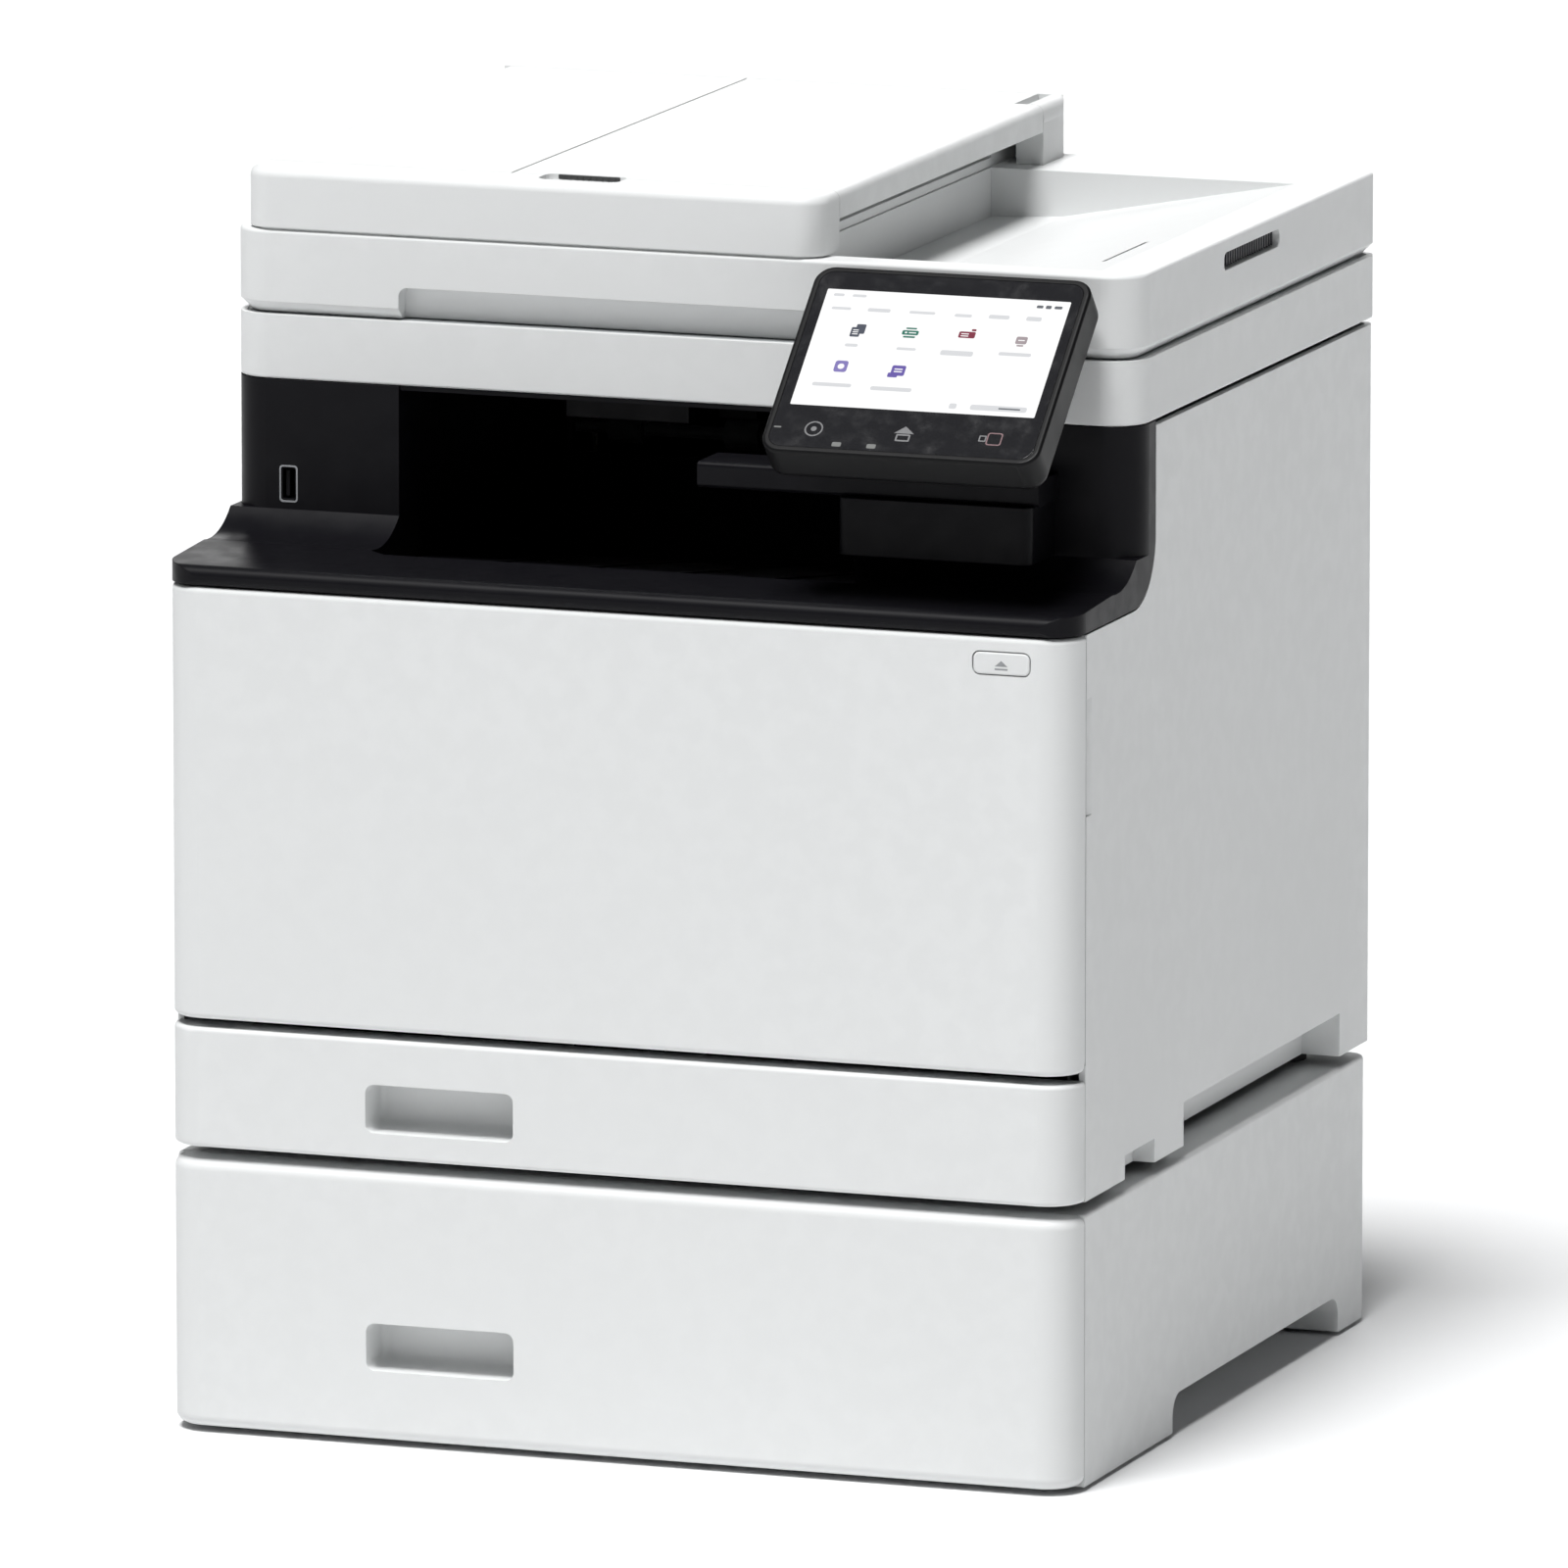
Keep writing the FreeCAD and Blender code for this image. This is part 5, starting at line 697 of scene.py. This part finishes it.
LID_SLOT_Y, LID_SLOT_Z = 0.0203, 0.517
LID_SLOT_SIZE, LID_SLOT_DEPTH, LID_SLOT_PITCH = (76.0, 7.4), 8.0, 3.2

GRIP_X = -0.053
GRIP_WIDTH, GRIP_HEIGHT, GRIP_RIB, GRIP_PITCH = 29.0, 2.0, 0.9, 3
RIBS_A_SIDE = 4
GRIP_BELOW_TOP = 0.0013

# painted shade: thin dark strips set into the door's seams stand in for the shadow in the gaps
SEAM_SHADE_WIDTH, SEAM_SHADE_DEPTH, SEAM_SHADE_SHORTER = 0.6, 1.0, 6.0
SEAM_SHADE_FORWARD = 0.00035


def front_of(node, x, z):
    """The front surface of a node at x, z."""
    return surface(node, (x, -1.0, z), (0, 1, 0))


def add_grille(name, place, size, depth, pitch, material, body):
    """A backing plate with upright fins standing on it."""
    width, height = size
    mesh = bmesh.new()
    add_plate(mesh, rounded_outline(width, height, min(width, height) * 0.2), -depth, -depth + 0.6, place)
    fin = rounded_outline(pitch * 0.35, height * 0.92, pitch * 0.12, 2)
    count = int(width / pitch)
    for index in range(count):
        offset = (index + 0.5) * width / count - width / 2
        add_plate(mesh, moved(fin, offset, 0.0), -depth + 0.5, -depth * 0.35, place, 0.05)
    piece(name, mesh, material, body)


def add_usb_outline():
    """A printed line round the upright USB socket in the black frame."""
    face = front_of("front_frame", USB_X + USB_SIDE, USB_Z)
    place = facing((USB_X, face.y, USB_Z), (1, 0, 0), (0, 0, 1))
    mesh = bmesh.new()
    add_frame(mesh, USB_SIZE, USB_WALL, (1.6, 1.1), (-0.4, 0.12), place)
    piece("usb_outline", mesh, printed("usb_ink", (0.34, 0.35, 0.37)), "main_body")


def add_button_mark():
    """An arrow over a bar on the door's release button."""
    centre = middle("door_button")
    place = facing(front_of("door_button", centre.x, centre.z), (1, 0, 0), (0, 0, 1))
    mesh = bmesh.new()
    add_plate(mesh, MARK_ARROW, -MARK_SINK, MARK_PROUD, place)
    bar = moved(rounded_outline(MARK_BAR_WIDTH, MARK_BAR_HEIGHT, 0.3, 3), 0.0, MARK_BAR_Y)
    add_plate(mesh, bar, -MARK_SINK, MARK_PROUD, place)
    ink = printed("button_ink", (0.3, 0.31, 0.32))
    piece("door_button_mark", mesh, ink, "door_button")


def add_lid_slot_liner():
    """The dark ribbed back of the slot in the lid's right edge."""
    place = facing((side_x, LID_SLOT_Y, LID_SLOT_Z), (0, 1, 0), (0, 0, 1))
    dark = finishes["dark_grey_plastic"]
    add_grille("lid_slot_liner", place, LID_SLOT_SIZE, LID_SLOT_DEPTH, LID_SLOT_PITCH, dark, "lid")


def add_tray_grip():
    """A ribbed rubber grip on the rear wall of the document tray's finger slot."""
    tray_low, tray_high = corners("adf_doc_tray")
    wall = surface("adf_doc_tray", (GRIP_X, tray_low.y - 0.01, tray_high.z - GRIP_BELOW_TOP), (0, 1, 0))
    place = facing((GRIP_X, wall.y, tray_high.z - GRIP_BELOW_TOP), (1, 0, 0), (0, 0, 1))
    mesh = bmesh.new()
    add_plate(mesh, rounded_outline(GRIP_WIDTH, GRIP_HEIGHT, 0.4), -0.3, 0.3, place, 0.1)
    rib = rounded_outline(GRIP_RIB, GRIP_HEIGHT * 0.8, 0.2, 2)
    for x in range(-RIBS_A_SIDE * GRIP_PITCH, RIBS_A_SIDE * GRIP_PITCH + 1, GRIP_PITCH):
        add_plate(mesh, moved(rib, x, 0.0), 0.2, 0.7, place, 0.1)
    piece("doc_tray_grip", mesh, finishes["rubber"], "doc_tray")


def add_seam_shade_strips():
    """Painted shade: dark strips at the bottom of the seams between the door and the side covers, standing
    in for the shadow in the gaps.
    """
    low, high = corners("front_door")
    seam_y = corners("side_cover_right")[0].y - SEAM_SHADE_FORWARD
    strip = rounded_outline(SEAM_SHADE_WIDTH, (high.z - low.z) / MM - SEAM_SHADE_SHORTER, 0.1, 2)
    mesh = bmesh.new()
    for side in (-1, 1):
        place = facing((side * side_x, seam_y, (low.z + high.z) / 2), (0, side, 0), (0, 0, 1))
        add_plate(mesh, strip, -SEAM_SHADE_DEPTH, -0.12, place)
    piece("door_seam_shade_strips", mesh, finishes["dark_grey_plastic"], "main_body")


# ---------------------------------------------------------------- rear details

CHUTE_FROM_BACK, CHUTE_BELOW_TOP = 0.0215, 0.006
CHUTE_SIZE, CHUTE_DEPTH, CHUTE_PITCH = (300.0, 128.0), 14.0, 14.0

# millimetres, x and z on the rear panel
SCREWS = ((-188, 446), (-62, 446), (62, 446), (188, 446), (-188, 140), (0, 138), (188, 140))
PLATE_X, PLATE_Z = 135, 150
PLATE_SIZE, PLATE_RIM = (34, 22), (31, 19)
# (x, z, width, height) of the network and the USB socket
SOCKETS = ((-180.0, 185.0, 15.0, 12.0), (-180.0, 166.0, 10.0, 10.0))
SHELL_WALL, SHELL_OUTSIDE, SHELL_LEVELS = 1.4, 1.2, (-7.0, 0.3)


def rear_at(node, x, z):
    """A placement on the rear surface of a node, facing out. Millimetres."""
    there = surface(node, (x * MM, 1.0, z * MM), (0, -1, 0))
    return facing(there, (-1, 0, 0), (0, 0, 1))


def add_rear_chute():
    """The ribbed inner guide that turns the sheet inside the rear cover."""
    low, high = corners("rear_cover")
    chute_z = high.z - CHUTE_BELOW_TOP - CHUTE_SIZE[1] * MM / 2
    place = facing(((low.x + high.x) / 2, high.y - CHUTE_FROM_BACK, chute_z), (1, 0, 0), (0, 0, 1))
    black = finishes["black_plastic"]
    add_grille("rear_cover_chute", place, CHUTE_SIZE, CHUTE_DEPTH, CHUTE_PITCH, black, "rear_cover")


def add_rear_screws():
    mesh = bmesh.new()
    for x, z in SCREWS:
        add_screw(mesh, rear_at("rear_panel", x, z))
    piece("rear_screws", mesh, finishes["steel_rod"], "main_body")


def add_rating_plate():
    """A blank metal plate with a raised rim."""
    place = rear_at("rear_panel", PLATE_X, PLATE_Z)
    mesh = bmesh.new()
    add_plate(mesh, rounded_outline(*PLATE_SIZE, 2.0), -0.1, 0.35, place, 0.1)
    add_frame(mesh, PLATE_RIM, 0.5, (1.2, 0.8), (0.3, 0.42), place)
    metal = sheet_metal("plate_metal", (0.5, 0.51, 0.52))
    piece("rating_plate_blank", mesh, metal, "main_body")


def add_socket_shells():
    """Steel shells that line the rear sockets' openings."""
    mesh = bmesh.new()
    for x, z, width, height in SOCKETS:
        rim_y = rear_at("sockets", x + width / 2 + 1, z).translation.y
        place = facing((x * MM, rim_y, z * MM), (-1, 0, 0), (0, 0, 1))
        size = (width + 2 * SHELL_OUTSIDE, height + 2 * SHELL_OUTSIDE)
        add_frame(mesh, size, SHELL_WALL, (0.9, 0.5), SHELL_LEVELS, place)
    piece("socket_shells", mesh, finishes["steel_plate"], "main_body")


# ---------------------------------------------------------------- under the lid

SCALE_X, SCALE_WIDTH = -0.1671, 9.0
TICK_PITCH, TICK_WIDTH, TICK_RIGHT = 5.0, 0.4, 4.0
LONG_TICK, SHORT_TICK, TICKS_TO_A_LONG_ONE = 5.0, 2.4, 4
INK_ON_SCALE = (0.08, 0.16)


def add_glass_scale():
    """The paper size scale at the left of the platen glass, with a corner arrow and no figures."""
    low, high = corners("platen_glass")
    centre_y = (low.y + high.y) / 2
    length = (high.y - low.y) / MM
    top = surface("scanner_top", (SCALE_X, centre_y, 1.0), (0, 0, -1))
    place = facing((SCALE_X, centre_y, top.z), (1, 0, 0), (0, 1, 0))
    mesh = bmesh.new()
    add_plate(mesh, rounded_outline(SCALE_WIDTH, length, 1.5), -0.1, 0.12, place, 0.05)
    piece("glass_scale", mesh, printed("scale_white", (0.7, 0.71, 0.7)), "main_body")
    mesh = bmesh.new()
    for index in range(int(length / TICK_PITCH) - 1):
        reach = SHORT_TICK if index % TICKS_TO_A_LONG_ONE else LONG_TICK
        tick = rounded_outline(reach, TICK_WIDTH, 0.15, 2)
        y = (index + 1) * TICK_PITCH - length / 2
        add_plate(mesh, moved(tick, TICK_RIGHT - reach / 2, y), *INK_ON_SCALE, place)
    arrow = ((-3.2, -8.0), (-0.4, -8.0), (-1.8, -3.0))
    add_plate(mesh, moved(arrow, 0.0, length / 2), *INK_ON_SCALE, place)
    ink = printed("scale_ink", (0.05, 0.055, 0.07))
    piece("glass_scale_ticks", mesh, ink, "main_body")


# ---------------------------------------------------------------- floor

FLOOR_SIDE = 60.0


def add_floor():
    half = FLOOR_SIDE / 2
    floor_corners = [(-half, -half, 0), (half, -half, 0), (half, half, 0), (-half, half, 0)]
    data = bpy.data.meshes.new("floor")
    data.from_pydata(floor_corners, [], [(0, 1, 2, 3)])
    data.materials.append(floor_paper())
    floor = bpy.data.objects.new("floor", data)
    scene.collection.objects.link(floor)


# ---------------------------------------------------------------- everything in its place

add_display()
add_key_marks()
add_lamps()
add_usb_outline()
add_button_mark()
add_lid_slot_liner()
add_tray_grip()
add_seam_shade_strips()
add_rear_chute()
add_rear_screws()
add_rating_plate()
add_socket_shells()
add_glass_scale()
add_floor()
